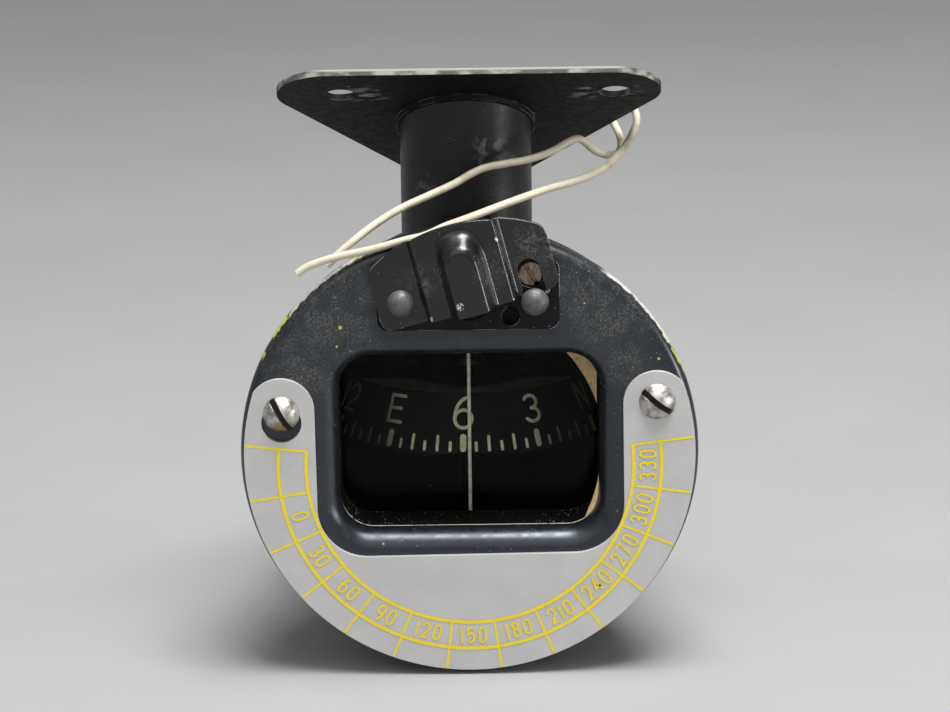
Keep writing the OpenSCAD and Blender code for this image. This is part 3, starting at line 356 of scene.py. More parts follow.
def black_paint(name, colour, roughness, shine=0.5, wear=0.5, dust=0.1, chips=(), nicks=(), films=()):
    """Satin black enamel over aluminium: uneven tone, orange peel, worn edges and a little dust.

    chips are places where the edges are bare, nicks are small bare spots, and films are dusty areas.
    """
    f = Finish(name, Specular_IOR_Level=shine)
    pale = tuple(1.3 * c for c in colour)
    tone = f.mix(f.ramp(f.noise(7), 0.35, 0.7), colour, pale)
    streaks = f.ramp(f.noise(3.5, 5), 0.66 - 0.25 * wear, 0.74 - 0.25 * wear, 0.0, 0.6)
    if chips:
        streaks = f.most(streaks, f.spots(chips, 0.6))
    worn = f.both(f.edges(0.22), streaks)
    if nicks:
        worn = f.most(worn, f.both(f.spots(nicks, 0.7), f.ramp(f.noise(0.5, 4), 0.45, 0.52)))
    powder = f.both(f.specks(0.55, 0.2, dust), f.ramp(f.noise(9), 0.42, 0.58))
    lint = f.specks(2.6, 0.45, dust * 0.6)
    if films:
        clouds = f.ramp(f.noise(2.5, 5), 0.38, 0.62, 0.25, 1.0)
        grains = f.both(f.ramp(f.noise(0.4, 5), 0.38, 0.74), clouds)
        tone = f.mix(f.both(f.spots(films, 0.15), grains), tone, FILM)
    f.colour = f.mix(f.most(powder, lint), f.mix(worn, tone, BARE_ALUMINIUM), DUST)
    f.set(
        Base_Color=f.colour,
        Roughness=f.ramp(f.noise(1.5), 0.3, 0.7, roughness - 0.05, roughness + 0.07),
    )
    f.bump(f.noise(0.3, 2), 0.008, f.rounded(0.2))
    return f


def metal(name, colour, roughness, tarnish=0.5, grain=0.15):
    """Dull metal with darker patches and fine grain."""
    f = Finish(name, Metallic=1.0)
    dull = tuple(tarnish * c for c in colour)
    f.set(
        Base_Color=f.mix(f.ramp(f.noise(1.6), 0.35, 0.7), colour, dull),
        Roughness=f.ramp(f.noise(0.8), 0.3, 0.7, roughness - 0.08, roughness + 0.1),
    )
    f.bump(f.noise(grain, 2), 0.01, f.rounded(0.1))
    return f


# Places of wear are (x, ahead, z, radius), measured from the face's centre

FLANGE_SLANT = math.radians(30)
FLANGE_AXIS = (0, math.sin(FLANGE_SLANT), math.cos(FLANGE_SLANT))
FLANGE_RIM_Y = 8
FLANGE_BROW_H = 0.5
FLANGE_SMEARS = [(-17.5, -24, 62.5, 5), (-18.5, -20, 60.5, 5), (22, -23.5, 63, 5), (29.5, -22, 62, 3.5)]


def flange_paint():
    """Flat black, rubbed bare along its front rim and smeared with grey beside the holes."""
    f = black_paint("flange_paint", (0.006, 0.006, 0.0063), 0.55, shine=0.1, wear=0.7, dust=0.05)
    low, high = node_box("mounting_flange")
    front = f.ramp(f.part("Y"), (low.y + FLANGE_RIM_Y) * MM, (low.y + FLANGE_RIM_Y - 3) * MM)
    rim = f.both(front, f.ramp(f.math("ABSOLUTE", f.facing(FLANGE_AXIS)), 0.5, 0.2))
    streaks = f.ramp(f.noise(2.2, 5, f.stretched((0.5, 1, 1))), 0.42, 0.62)
    brow = f.ramp(f.part("Z"), (high.z - FLANGE_BROW_H) * MM, (high.z - FLANGE_BROW_H + 0.3) * MM)
    bare = f.both(rim, f.most(f.both(brow, 0.9), f.both(streaks, 0.7)))
    swirls = f.ramp(f.noise(3.2, 5, f.stretched((1, 2, 2))), 0.5, 0.62)
    smears = f.both(f.spots(FLANGE_SMEARS, 0.3), swirls)
    grey = f.mix(smears, f.colour, (0.2, 0.2, 0.19))
    rubbed = f.mix(rim, grey, (0.07, 0.072, 0.066))
    f.set(Base_Color=f.mix(bare, rubbed, (0.34, 0.34, 0.29)))
    return f


TUBE_RUBS = [(5, -24, 51, 5), (9, -25, 48, 4), (-9, -25, 44, 4)]


def tube_paint():
    """Black with pale rubbed patches on the front."""
    f = black_paint("tube_paint", (0.012, 0.0115, 0.011), 0.38, shine=0.3, wear=0.15, dust=0.04)
    rub = f.both(f.spots(TUBE_RUBS, 0.2), f.ramp(f.noise(1.6, 5), 0.5, 0.64))
    f.set(Base_Color=f.mix(f.both(rub, 0.8), f.colour, (0.13, 0.13, 0.14)))
    return f


def bowl_paint():
    """Plain black on the case behind the face."""
    return black_paint("bowl_paint", (0.014, 0.014, 0.015), 0.48, shine=0.3, wear=0.3)


# Arcs of the rim in degrees, anticlockwise from the right
RIM_BARE = [(31, 51), (121, 137)]
RIM_PRIMER = [(22, 34), (135, 152), (112, 122)]
RIM_DEPTH = 3.6
BEZEL_STAINS = [(-22.8, 0, 24, 0.4), (-36.5, 0, 21, 0.3), (-23.5, 0, 20.5, 0.25), (34, 0, 17.5, 0.3)]
BEZEL_FILMS = [
    (-24, 0, 26, 13), (-20, 0, 31, 9), (19, 0, 30, 9), (-30, 0, 17, 9), (28, 0, 16, 7), (25, 0, 25, 10),
]


def bezel_paint():
    """Dark grey-black enamel, with the rolled rim rubbed down to primer and metal at the top."""
    f = black_paint(
        "bezel_paint", (0.007, 0.008, 0.010), 0.32, shine=0.7, wear=0.1, dust=0.2, films=BEZEL_FILMS,
    )
    f.set(Specular_Tint=(0.82, 0.91, 1.0))
    radius, angle = f.round_face()
    ragged = f.ramp(f.noise(1.6, 5), 0.35, 0.65, -0.1, 0.1)
    reach = f.math("ADD", radius, ragged)
    rim_end = face_centre.y + RIM_DEPTH
    front = f.ramp(f.part("Y"), rim_end * MM, (rim_end - 0.8) * MM)
    bare = f.most(*(f.band(angle, low, high, 5) for low, high in RIM_BARE))
    primer = f.most(*(f.band(angle, low, high, 3) for low, high in RIM_PRIMER))
    bare_rim = f.both(f.ramp(f.noise(1.2, 5), 0.3, 0.42), f.ramp(reach, face_r - 0.3, face_r - 0.1))
    primer_rim = f.both(f.ramp(f.noise(1.8, 5), 0.42, 0.54), f.ramp(reach, face_r - 0.35, face_r - 0.2))
    bare = f.both(front, f.both(bare, bare_rim))
    primer = f.both(front, f.both(primer, primer_rim))
    rubbed = f.mix(f.most(primer, f.spots(BEZEL_STAINS, 0.6)), f.colour, PRIMER)
    f.set(Base_Color=f.mix(bare, rubbed, BARE_ALUMINIUM))
    return f


COVER_CHIPS = [
    (2, 4.2, 43.5, 2.5), (6.7, 2.2, 43.9, 2.6), (10.4, 2.2, 43.4, 2.6), (13.0, 2.2, 42.0, 2.0),
    (13.9, 2.2, 40.7, 1.6), (-14.9, 2.2, 24.9, 2.0), (-16.3, 2.2, 36.4, 2.4), (-6.7, 4.2, 26.2, 0.8),
    (-11.7, 2.2, 24.1, 0.5),
]
COVER_NICKS = [(-1.4, 7.4, 29.3, 0.8), (-6.7, 4.2, 26.2, 0.7), (8.3, 4.2, 29.8, 0.35), (5.3, 4.2, 40.7, 0.5)]
COVER_FILMS = [(12, 2.2, 38, 7), (3.5, 4.2, 35, 5), (-9, 4.2, 33, 5), (-4, 4.2, 35, 3)]


def cover_paint():
    """Glossier black, chipped along the cover's edges."""
    return black_paint(
        "cover_paint", (0.004, 0.0043, 0.005), 0.25, shine=0.55, wear=-1, dust=0.16,
        chips=COVER_CHIPS, nicks=COVER_NICKS, films=COVER_FILMS,
    )


PLATE_CHIPS = [(15.6, 1, 32.4, 2.0), (15.9, 1, 34.6, 1.5), (15.6, 1, 23.9, 1.4)]
PLATE_NICKS = [(14.2, 1, 30.5, 0.5), (13, 1, 22.9, 0.4), (10.8, 1, 23, 0.3)]


def plate_paint():
    """Flat black, chipped at the plate's right end."""
    return black_paint(
        "plate_paint", (0.005, 0.005, 0.0053), 0.4, shine=0.15, wear=0.5, dust=0.14,
        chips=PLATE_CHIPS, nicks=PLATE_NICKS,
    )


CARD_SLOT_W = 1.15
HEAD_R = 3.3
LEFT_SCREW_Z = 8.3
RIGHT_SCREW_Z = 9.8
LEFT_SLOT_TURN = 60
RIGHT_SLOT_TURN = 38
SLOT_REACH = 6
RUST_DROP = 3
RUST_R = 3.2


def card_screw_metal():
    """Dull plated steel with painted shade in the slots; the left screw is browner at its foot."""
    f = Finish("card_screw_metal", Metallic=1.0)
    low, high = node_box("correction_card_screws")
    grey = f.mix(f.ramp(f.noise(1.4), 0.35, 0.65), (0.62, 0.60, 0.56), (0.30, 0.29, 0.26))
    left = Vector((low.x + HEAD_R, low.y, face_centre.z + LEFT_SCREW_Z))
    right = Vector((high.x - HEAD_R, low.y, face_centre.z + RIGHT_SCREW_Z))
    rust = f.spot(left - Vector((0, 0, RUST_DROP)), RUST_R, 0.3)
    tone = f.mix(rust, grey, (0.30, 0.21, 0.09))
    # Painted shade: the slots are dark lines across the heads
    slots = []
    for centre, turn in ((left, LEFT_SLOT_TURN), (right, RIGHT_SLOT_TURN)):
        slots.append(f.both(f.groove(centre, turn, CARD_SLOT_W), f.spot(centre, SLOT_REACH, 0.9)))
    f.set(
        Base_Color=f.mix(f.most(*slots), tone, (0.035, 0.03, 0.026)),
        Roughness=f.ramp(f.noise(0.8), 0.3, 0.7, 0.3, 0.5),
    )
    f.bump(f.noise(0.2, 2), 0.012, f.rounded(0.1))
    return f


def stud_metal():
    """Blackened steel, gone grey and matt."""
    f = Finish("stud_metal", Metallic=0.5)
    f.set(
        Base_Color=f.mix(f.ramp(f.noise(1.2), 0.35, 0.7), (0.12, 0.12, 0.12), (0.085, 0.085, 0.085)),
        Roughness=f.ramp(f.noise(0.6), 0.3, 0.7, 0.42, 0.6),
    )
    f.bump(f.noise(0.3, 2), 0.02, f.rounded(0.1))
    return f


def card_metal():
    """Satin aluminium sheet with fine scratches along it."""
    f = Finish("card_metal", Metallic=0.2)
    scratches = f.noise(0.5, 4, f.stretched((0.15, 1, 1)))
    grey = f.mix(f.ramp(f.noise(5), 0.3, 0.7), (0.51, 0.506, 0.502), (0.475, 0.471, 0.467))
    f.set(
        Base_Color=f.mix(f.specks(1.2, 0.25, 0.12), grey, (0.3, 0.29, 0.27)),
        Roughness=f.ramp(scratches, 0.3, 0.7, 0.42, 0.58),
    )
    f.bump(f.noise(0.2, 2), 0.006, f.rounded(0.12))
    return f


ADJUSTER_FACE_R = 2.15


def adjuster_metal(node):
    """Brown old brass, streaked along its groove, with painted shade for the gap round it."""
    f = metal(node + "_metal", (0.30, 0.235, 0.185), 0.5)
    low, high = node_box(node)
    head = Vector(((low.x + high.x) / 2, low.y, (low.z + high.z) / 2))
    streaks = f.ramp(f.noise(0.5, 4, f.stretched((1, 1, 0.25))), 0.35, 0.65)
    brown = f.mix(streaks, (0.33, 0.26, 0.21), (0.17, 0.125, 0.10))
    # Painted shade: near black outside the head's face, for the gap round it
    inside = f.spot(head, ADJUSTER_FACE_R, 0.92)
    f.set(Base_Color=f.mix(inside, (0.012, 0.011, 0.010), brown))
    return f


def lens_glass():
    """Glass wetted by the liquid behind it, so that it mirrors little, with a faint film."""
    f = Finish("lens_glass", Transmission_Weight=1.0, IOR=1.12, Specular_IOR_Level=0.08)
    film = f.ramp(f.noise(9), 0.45, 0.75, 0.0, 0.06)
    f.set(Base_Color=(0.96, 0.97, 0.97), Roughness=film)
    return f


def cork_sheet():
    """Tan cork with dark grains."""
    f = Finish("cork_sheet", Specular_IOR_Level=0.2)
    tan = f.mix(f.ramp(f.noise(1.2), 0.35, 0.7), (0.80, 0.60, 0.33), (0.64, 0.45, 0.22))
    f.set(
        Base_Color=f.mix(f.specks(1.1, 0.5, 0.4), tan, (0.28, 0.17, 0.08)),
        Roughness=f.ramp(f.noise(0.5), 0.3, 0.7, 0.75, 0.95),
    )
    f.bump(f.noise(0.6), 0.08)
    return f


DIAL_CONE = math.radians(25)
UP = (0, 0, 1)
# Painted light on the dial's top: the lit band's half width, and its depth at the middle and at the sides
LIT_BAND_HALF_W = 14
LIT_BAND_MIDDLE = 4
LIT_BAND_SIDES = 11


def dial_paint():
    """Flat black, with painted light along the front of its flat top: a grey lit band, deeper towards the
    sides.
    """
    f = Finish("dial_paint", Specular_IOR_Level=0.1)
    black = f.mix(f.ramp(f.noise(6), 0.35, 0.7), (0.005, 0.005, 0.005), (0.010, 0.0095, 0.009))
    depth = f.ramp(f.aside(), 0, LIT_BAND_HALF_W * MM, LIT_BAND_MIDDLE, LIT_BAND_SIDES)
    low, high = node_box("dial")
    top_front = low.y + (high.z - low.z) * math.tan(DIAL_CONE)
    reach = f.math("SUBTRACT", f.math("DIVIDE", f.part("Y"), MM), f.math("ADD", depth, top_front))
    # Painted light: grey where light falls on the up-facing front of the top, with shade above it
    lit_band = f.both(f.ramp(f.facing(UP), 0.7, 0.95), f.ramp(reach, 1.5, -1.5))
    lit_band = f.both(lit_band, f.ramp(f.noise(1.2, 3), 0.3, 0.7, 0.6, 1.0))
    f.set(
        Base_Color=f.mix(lit_band, black, (0.2, 0.2, 0.195)),
        Roughness=f.ramp(f.noise(2), 0.3, 0.7, 0.6, 0.8),
    )
    f.bump(f.noise(0.4, 2), 0.01)
    return f


# The window's near-black lining, which is painted shade: its depths behind the face, and how far from the
# axis its crumbs lie
LINER_FRONT = 4.1
LINER_BACK = 12.9
LINER_DUST_DEPTH = 0.5
CRUMBS_FROM = 8
CRUMBS_FULL = 21


def window_shade_black():
    """Painted shade: dead black inside the window, for the shade under its top, and dusty along the front
    edge and in the corners.
    """
    f = Finish("window_shade_black", Specular_IOR_Level=0.05)
    edge = face_centre.y + LINER_FRONT
    front = f.ramp(f.part("Y"), (edge + LINER_DUST_DEPTH) * MM, edge * MM)
    line = f.both(front, f.ramp(f.noise(1.2, 4), 0.28, 0.45))
    sides = f.ramp(f.aside(), CRUMBS_FROM * MM, CRUMBS_FULL * MM, 0.35, 1.0)
    crumbs = f.both(f.specks(0.6, 0.28, 0.4), f.ramp(f.noise(4), 0.42, 0.55))
    dusty = f.both(f.most(line, f.both(crumbs, sides)), f.ramp(f.facing(UP), 0.1, 0.6))
    f.set(
        # The near-black base is painted shade; the pale specks and the edge line are dust
        Base_Color=f.mix(dusty, (0.004, 0.004, 0.004), (0.85, 0.79, 0.62)),
        Roughness=f.ramp(dusty, 0, 1, 0.8, 0.95),
    )
    f.bump(f.noise(0.3, 2), 0.02)
    return f


def cream_paint(name, colour):
    """Aged luminous paint, slightly uneven."""
    f = Finish(name, Specular_IOR_Level=0.2)
    worn = tuple(0.72 * c for c in colour)
    f.colour = f.mix(f.ramp(f.noise(1.1), 0.4, 0.7), colour, worn)
    f.set(
        Base_Color=f.colour,
        Roughness=f.ramp(f.noise(0.5), 0.3, 0.7, 0.6, 0.8),
    )
    f.bump(f.noise(0.25, 2), 0.02)
    return f


# Distances from the face's axis between which painted shade darkens the dial's marks, and then lets them go
# pale again
DARK_FROM = 9
DARK_FULL = 18
PALE_FROM = 23
PALE_FULL = 25.5
DARK_FRONT_RUN = 5


def dial_marking():
    """Luminous paint, darkened by painted shade on two arcs, which face the window's sides."""
    f = cream_paint("dial_marking", (0.80, 0.79, 0.50))
    low, high = node_box("dial")
    middle = (low.y + high.y) / 2
    front = f.ramp(f.part("Y"), middle * MM, (middle - DARK_FRONT_RUN) * MM)
    away = f.aside()
    arcs = f.both(f.ramp(away, DARK_FROM * MM, DARK_FULL * MM), f.ramp(away, PALE_FULL * MM, PALE_FROM * MM))
    # Painted shade: the front of the marks on these arcs is darkened
    f.set(Base_Color=f.mix(f.both(front, arcs), f.colour, (0.07, 0.068, 0.05)))
    return f


def yellow_print():
    """Yellow ink, slightly rubbed."""
    f = Finish("yellow_print", Specular_IOR_Level=0.4)
    f.set(
        Base_Color=f.mix(f.ramp(f.noise(0.9), 0.45, 0.75), (0.76, 0.60, 0.02), (0.66, 0.53, 0.05)),
        Roughness=f.ramp(f.noise(0.5), 0.3, 0.7, 0.4, 0.55),
    )
    f.bump(f.noise(0.2, 2), 0.006)
    return f


def lead_insulation():
    """Cream sleeving with yellow grime."""
    f = Finish("lead_insulation", Specular_IOR_Level=0.4)
    grime = f.ramp(f.noise(3), 0.5, 0.75)
    f.set(
        Base_Color=f.mix(grime, (0.56, 0.515, 0.40), (0.45, 0.385, 0.25)),
        Roughness=f.ramp(f.noise(0.8), 0.3, 0.7, 0.38, 0.55),
    )
    f.bump(f.noise(0.5, 2), 0.02)
    return f


def rubber():
    """Black rubber with a grey bloom."""
    f = Finish("rubber", Specular_IOR_Level=0.3)
    f.set(
        Base_Color=f.mix(f.ramp(f.noise(1.5), 0.35, 0.7), (0.016, 0.016, 0.016), (0.035, 0.034, 0.032)),
        Roughness=f.ramp(f.noise(0.6), 0.3, 0.7, 0.6, 0.8),
    )
    f.bump(f.noise(0.3, 2), 0.015)
    return f


def clear_glass(name, colour, roughness=0.03):
    """Clear or tinted glass."""
    f = Finish(name, Transmission_Weight=1.0, IOR=1.5)
    f.set(Base_Color=colour, Roughness=f.ramp(f.noise(2), 0.3, 0.7, roughness, roughness + 0.05))
    return f


# Finishes by the record's material slots
FINISHES = {
    "flange": flange_paint(),
    "tube": tube_paint(),
    "bowl": bowl_paint(),
    "bezel": bezel_paint(),
    "cover": cover_paint(),
    "plate": plate_paint(),
    "stud": stud_metal(),
    "card": card_metal(),
    "screw": card_screw_metal(),
    "small_screw": metal("screw_steel", (0.46, 0.46, 0.45), 0.4),
    "brass": metal("old_brass", (0.36, 0.29, 0.20), 0.45),
    "bronze": metal("spring_bronze", (0.5, 0.36, 0.2), 0.36),
    "washer": metal("washer_steel", (0.5, 0.5, 0.5), 0.35),
    # Painted shade: the magnets are near black, for the shade below the dial
    "magnet": metal("shade_darkened_magnet_steel", (0.03, 0.03, 0.032), 0.5),
    "lens": lens_glass(),
    "cork": cork_sheet(),
    "ring": black_paint("ring_paint", (0.02, 0.02, 0.02), 0.5, shine=0.3),
    "cream_paint": cream_paint("lubber_paint", (0.82, 0.80, 0.64)),
    "dial": dial_paint(),
    "float": metal("tinned_brass", (0.35, 0.36, 0.38), 0.45),
    "hard_metal": metal("pivot_alloy", (0.6, 0.6, 0.6), 0.25),
    "jewel": clear_glass("jewel", (0.55, 0.05, 0.08)),
    "lead": lead_insulation(),
    "rubber": rubber(),
    "socket": metal("socket_aluminium", (0.5, 0.5, 0.49), 0.45, tarnish=0.7),
    "bulb": clear_glass("bulb_glass", (0.95, 0.93, 0.88)),
    "filter": clear_glass("red_filter", (0.5, 0.03, 0.02)),
}

# Finishes of nodes that differ from the rest of their slot
NODE_FINISHES = {
    "ns_adjuster": adjuster_metal("ns_adjuster"),
    "ew_adjuster": adjuster_metal("ew_adjuster"),
    # Painted shade: the pivot post is near black, for the shade inside the bowl
    "pivot_post": metal("shade_darkened_brass", (0.02, 0.018, 0.015), 0.5),
}


def dress_nodes():
    """Gives each CAD node its own finish, or that of its material slot in the record."""
    for part in frame["record"]["subparts"]:
        finish = NODE_FINISHES.get(part["node"], FINISHES[part["material_slot"]])
        for slot in frame["nodes"][part["node"]].material_slots:
            slot.material = finish.material


dress_nodes()
for lead in leads:
    lead.data.materials.append(FINISHES["lead"].material)


# Marks: strokes of constant width, laid on the dial's cone or on the card's face


def arc(x, y, rx, ry, start, end, steps=10):
    """Points on an ellipse's arc, between two angles in degrees."""
    turns = [math.radians(start + (end - start) * k / steps) for k in range(steps + 1)]
    return [(x + rx * math.cos(t), y + ry * math.sin(t)) for t in turns]


# Each character's strokes, in a box that is 1 wide and 1 high
GLYPHS = {
    "0": [arc(0.5, 0.68, 0.5, 0.32, 180, 0) + arc(0.5, 0.32, 0.5, 0.32, 0, -180) + [(0, 0.68)]],
    "1": [[(0.5, 0), (0.5, 1)]],
    "2": [arc(0.5, 0.7, 0.5, 0.3, 165, -25) + [(0.02, 0.0), (1, 0)]],
    "3": [arc(0.48, 0.75, 0.46, 0.25, 150, -90), arc(0.48, 0.26, 0.52, 0.26, 90, -150)],
    "4": [[(0.75, 0), (0.75, 1), (0, 0.3), (1, 0.3)]],
    "5": [[(0.92, 1), (0.1, 1)] + arc(0.47, 0.33, 0.53, 0.33, 135, -145)],
    "6": [arc(0.85, 0.3, 0.85, 0.72, 100, 180), arc(0.5, 0.3, 0.5, 0.3, 180, 540, 20)],
    "7": [[(0, 1), (1, 1), (0.35, 0)]],
    "8": [arc(0.5, 0.76, 0.42, 0.24, -90, 270, 20), arc(0.5, 0.26, 0.5, 0.26, 90, 450, 20)],
    "9": [arc(0.15, 0.7, 0.85, 0.72, -80, 0), arc(0.5, 0.7, 0.5, 0.3, 0, 360, 20)],
    "N": [[(0, 0), (0, 1), (1, 0), (1, 1)]],
    "E": [[(1, 1), (0, 1), (0, 0), (1, 0)], [(0, 0.52), (0.85, 0.52)]],
    "S": [arc(0.5, 0.75, 0.48, 0.25, 20, 270) + arc(0.5, 0.25, 0.5, 0.25, 90, -160)],
    "W": [[(0, 1), (0.22, 0), (0.5, 0.8), (0.78, 0), (1, 1)]],
}
NARROW = {"1": 0.35}
MARK_STEP = 0.6
MARK_PROUD = 0.03
MARK_LAYER = 0.002
MITRE_LIMIT = 0.4
CAP_STEPS = 6


class Marks:
    """Collects strokes as one mesh. place turns (across, up, proud) into a point of the part."""

    def __init__(self):
        self.points = []
        self.faces = []
        self.proud = MARK_PROUD

    def stroke(self, path, width, place, capped=False):
        """A band of that width along the path, mitred at its corners, a hair above the stroke before it."""
        path = self.refined([Vector(p) for p in path])
        self.proud += MARK_LAYER
        ways = [(b - a).normalized() for a, b in zip(path, path[1:])]
        looped = (path[0] - path[-1]).length < 1e-6
        start = len(self.points)
        for k, point in enumerate(path):
            before = ways[k - 1] if k or looped else ways[0]
            after = ways[k % len(ways)] if k < len(ways) or looped else ways[-1]
            way = (before + after).normalized()
            reach = width / 2 / max(way.dot(after), MITRE_LIMIT)
            side = Vector((-way.y, way.x)) * reach
            self.points += [place(*(point + side), self.proud), place(*(point - side), self.proud)]
        for k in range(len(ways)):
            a = start + 2 * k
            self.faces.append((a, a + 1, a + 3, a + 2))
        if capped and not looped:
            self.cap(path[0], -ways[0], width / 2, place)
            self.cap(path[-1], ways[-1], width / 2, place)

    def refined(self, path):
        """The path with long runs divided, so that it bends with the surface under it."""
        fine = [path[0]]
        for a, b in zip(path, path[1:]):
            count = max(1, math.ceil((b - a).length / MARK_STEP))
            fine += [a.lerp(b, k / count) for k in range(1, count + 1)]
        return fine

    def cap(self, end, way, r, place):
        """A half disc that rounds off a stroke's end."""
        side = Vector((way.y, -way.x))
        turns = [math.pi * k / CAP_STEPS for k in range(CAP_STEPS + 1)]
        rim = [end + r * (math.cos(t) * side + math.sin(t) * way) for t in turns]
        start = len(self.points)
        self.points += [place(*p, self.proud) for p in rim]
        self.faces.append(tuple(range(start, start + len(rim))))

    def text(self, words, height, width, gap, line, place):
        """A row of characters, centred on the place's origin."""
        widths = [width * NARROW.get(c, 1) for c in words]
        x = -(sum(widths) + gap * (len(words) - 1)) / 2
        for c, w in zip(words, widths):
            left, foot = x + line / 2, line / 2
            for path in GLYPHS[c]:
                drawn = [(left + px * (w - line), foot + py * (height - line)) for px, py in path]
                self.stroke(drawn, line, place, capped=True)
            x += w + gap

    def piece(self, name, body, finish, slot):
        """The strokes as a piece that rides on a body."""
        return make_piece(name, self.points, self.faces, body, finish)


def make_piece(name, points, faces, body, finish):
    """A mesh from points in millimetres, riding on a body."""
    mesh = bpy.data.meshes.new(name)
    mesh.from_pydata([Vector(p) * MM for p in points], [], faces)
    mesh.materials.append(finish.material)
    piece = bpy.data.objects.new(name, mesh)
    scene.collection.objects.link(piece)
    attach(piece, body)
    return piece


# Marks on the compass card

DIAL_HEADING = 57.5
TICK_FOOT = 0.45
TICK_TURN = 5
TICKS = {30: (1.15, 3.4), 10: (0.55, 3.1), 5: (0.55, 2.0)}
DIAL_WORDS = ["N", "3", "6", "E", "12", "15", "S", "21", "24", "W", "30", "33"]
DIAL_WORD_TURN = 30
DIAL_WORD_FOOT = 5.0
DIAL_WORD_H = 5.6
DIAL_WORD_W = 3.4
DIAL_WORD_GAP = 0.9
DIAL_LINE = 0.64
TALL_WORD = "6"
TALL_SCALE = 1.13


def make_dial_marks():
    """Ticks every five degrees and a number or letter every thirty, painted on the dial's cone."""
    low, high = node_box("dial")
    centre = (low + high) / 2
    rim_r = (high.x - low.x) / 2

    def on_cone(heading):
        """Places (across, up the slope, proud) on the cone, at a heading of the dial."""
        turn = math.radians(DIAL_HEADING - heading)

        def place(across, slope, proud):
            r = rim_r - slope * math.sin(DIAL_CONE)
            a = turn + across / r
            r += proud * math.cos(DIAL_CONE)
            z = low.z + slope * math.cos(DIAL_CONE) + proud * math.sin(DIAL_CONE)
            return centre.x + r * math.sin(a), centre.y - r * math.cos(a), z

        return place

    marks = Marks()
    for heading in range(0, 360, TICK_TURN):
        step = next(s for s in TICKS if heading % s == 0)
        width, length = TICKS[step]
        ends = [(0, TICK_FOOT + width / 2), (0, TICK_FOOT + length - width / 2)]
        marks.stroke(ends, width, on_cone(heading), capped=True)
        # Ticks don't cross, so they share one layer
        marks.proud -= MARK_LAYER
    for k, word in enumerate(DIAL_WORDS):
        place = on_cone(DIAL_WORD_TURN * k)
        scale = TALL_SCALE if word == TALL_WORD else 1
        foot = DIAL_WORD_FOOT - (scale - 1) * DIAL_WORD_H / 2
        marks.text(
            word, DIAL_WORD_H * scale, DIAL_WORD_W * scale, DIAL_WORD_GAP, DIAL_LINE,
            lambda across, up, proud: place(across, foot + up, proud),
        )
    marks.piece("dial_marks", "compass_card", dial_marking(), "dial")


make_dial_marks()


# Print on the correction card

CARD_TURN = math.radians(0.5)
PRINT_DROP = 1.9
ARC_STEPS = 96
ARC_OVERRUN = 0.4
INNER_ARC_R = 29.5
OUTER_ARC_R = 34.5
ARC_LINE = 0.66
CELL_LINE = 0.46
EDGE_GAP = 0.15
CELLS = 13
FIRST_CELL = 173.3
CELL_TURN = (540 - 2 * FIRST_CELL) / CELLS
CARD_STEP = 30
CARD_DIGIT_H = 3.2
CARD_DIGIT_W = 1.58
CARD_DIGIT_GAP = 0.55
CARD_DIGIT_LINE = 0.4


def make_card_print():
    """Two arcs with a ring of cells between them, numbered in steps of thirty degrees."""
    low, high = node_box("correction_card")
    card_r = (high.x - low.x) / 2
    centre_x, centre_z = (low.x + high.x) / 2, low.z + card_r
    lean = Matrix.Rotation(CARD_TURN, 2)

    def flat(x, z, proud):
        """Places measured from the card's centre, turned with the card."""
        at = lean @ Vector((x, z))
        return centre_x + at.x, low.y - proud, centre_z + at.y

    def round_arcs(turn, r):
        """Places (across, up, proud) round the arcs' centre, with up towards it."""
        way = math.radians(turn)
        out = Vector((math.cos(way), math.sin(way)))
        right = Vector((-out.y, out.x))

        def place(across, up, proud):
            at = out * (r - up) + right * across
            return flat(at.x, at.y - PRINT_DROP, proud)

        return place

    marks = Marks()
    last = FIRST_CELL + CELLS * CELL_TURN
    for k in range(CELLS + 1):
        turn = FIRST_CELL + k * CELL_TURN
        fall = PRINT_DROP * math.sin(math.radians(turn))
        edge = fall + math.sqrt(fall ** 2 + card_r ** 2 - PRINT_DROP ** 2) - EDGE_GAP
        marks.stroke([(0, 0), (0, edge - INNER_ARC_R)], CELL_LINE, round_arcs(turn, edge))
    for r in (INNER_ARC_R, OUTER_ARC_R):
        ends = FIRST_CELL - ARC_OVERRUN, last + ARC_OVERRUN
        marks.stroke(arc(0, -PRINT_DROP, r, r, *ends, ARC_STEPS), ARC_LINE, flat)
    middle_r = (INNER_ARC_R + OUTER_ARC_R) / 2
    for k in range(1, CELLS):
        place = round_arcs(FIRST_CELL + (k + 0.5) * CELL_TURN, middle_r + CARD_DIGIT_H / 2)
        marks.text(
            str(CARD_STEP * (k - 1)), CARD_DIGIT_H, CARD_DIGIT_W, CARD_DIGIT_GAP, CARD_DIGIT_LINE, place,
        )
    marks.piece("card_print", "case", yellow_print(), "card")


make_card_print()


# Near-black lining of the window's tunnel, behind its rolled lip, as painted shade

WINDOW_W = 46.9
WINDOW_H = 32.5
WINDOW_RISE = 1.8
WINDOW_CORNER_R = 6
WINDOW_CORNER_STEPS = 12
LINER_T = 0.06
LINER_RINGS = [LINER_FRONT, LINER_FRONT + 0.3, LINER_FRONT + 1, LINER_BACK]


def window_corner(x, z, inset, start):
    """Points round one corner of the window, x and z being 1 or -1, from an angle onwards."""
    r = WINDOW_CORNER_R - inset
    centre_x = x * (WINDOW_W / 2 - WINDOW_CORNER_R)
    centre_z = z * (WINDOW_H / 2 - WINDOW_CORNER_R) + WINDOW_RISE
    return arc(centre_x, centre_z, r, r, start, start + 90, WINDOW_CORNER_STEPS)


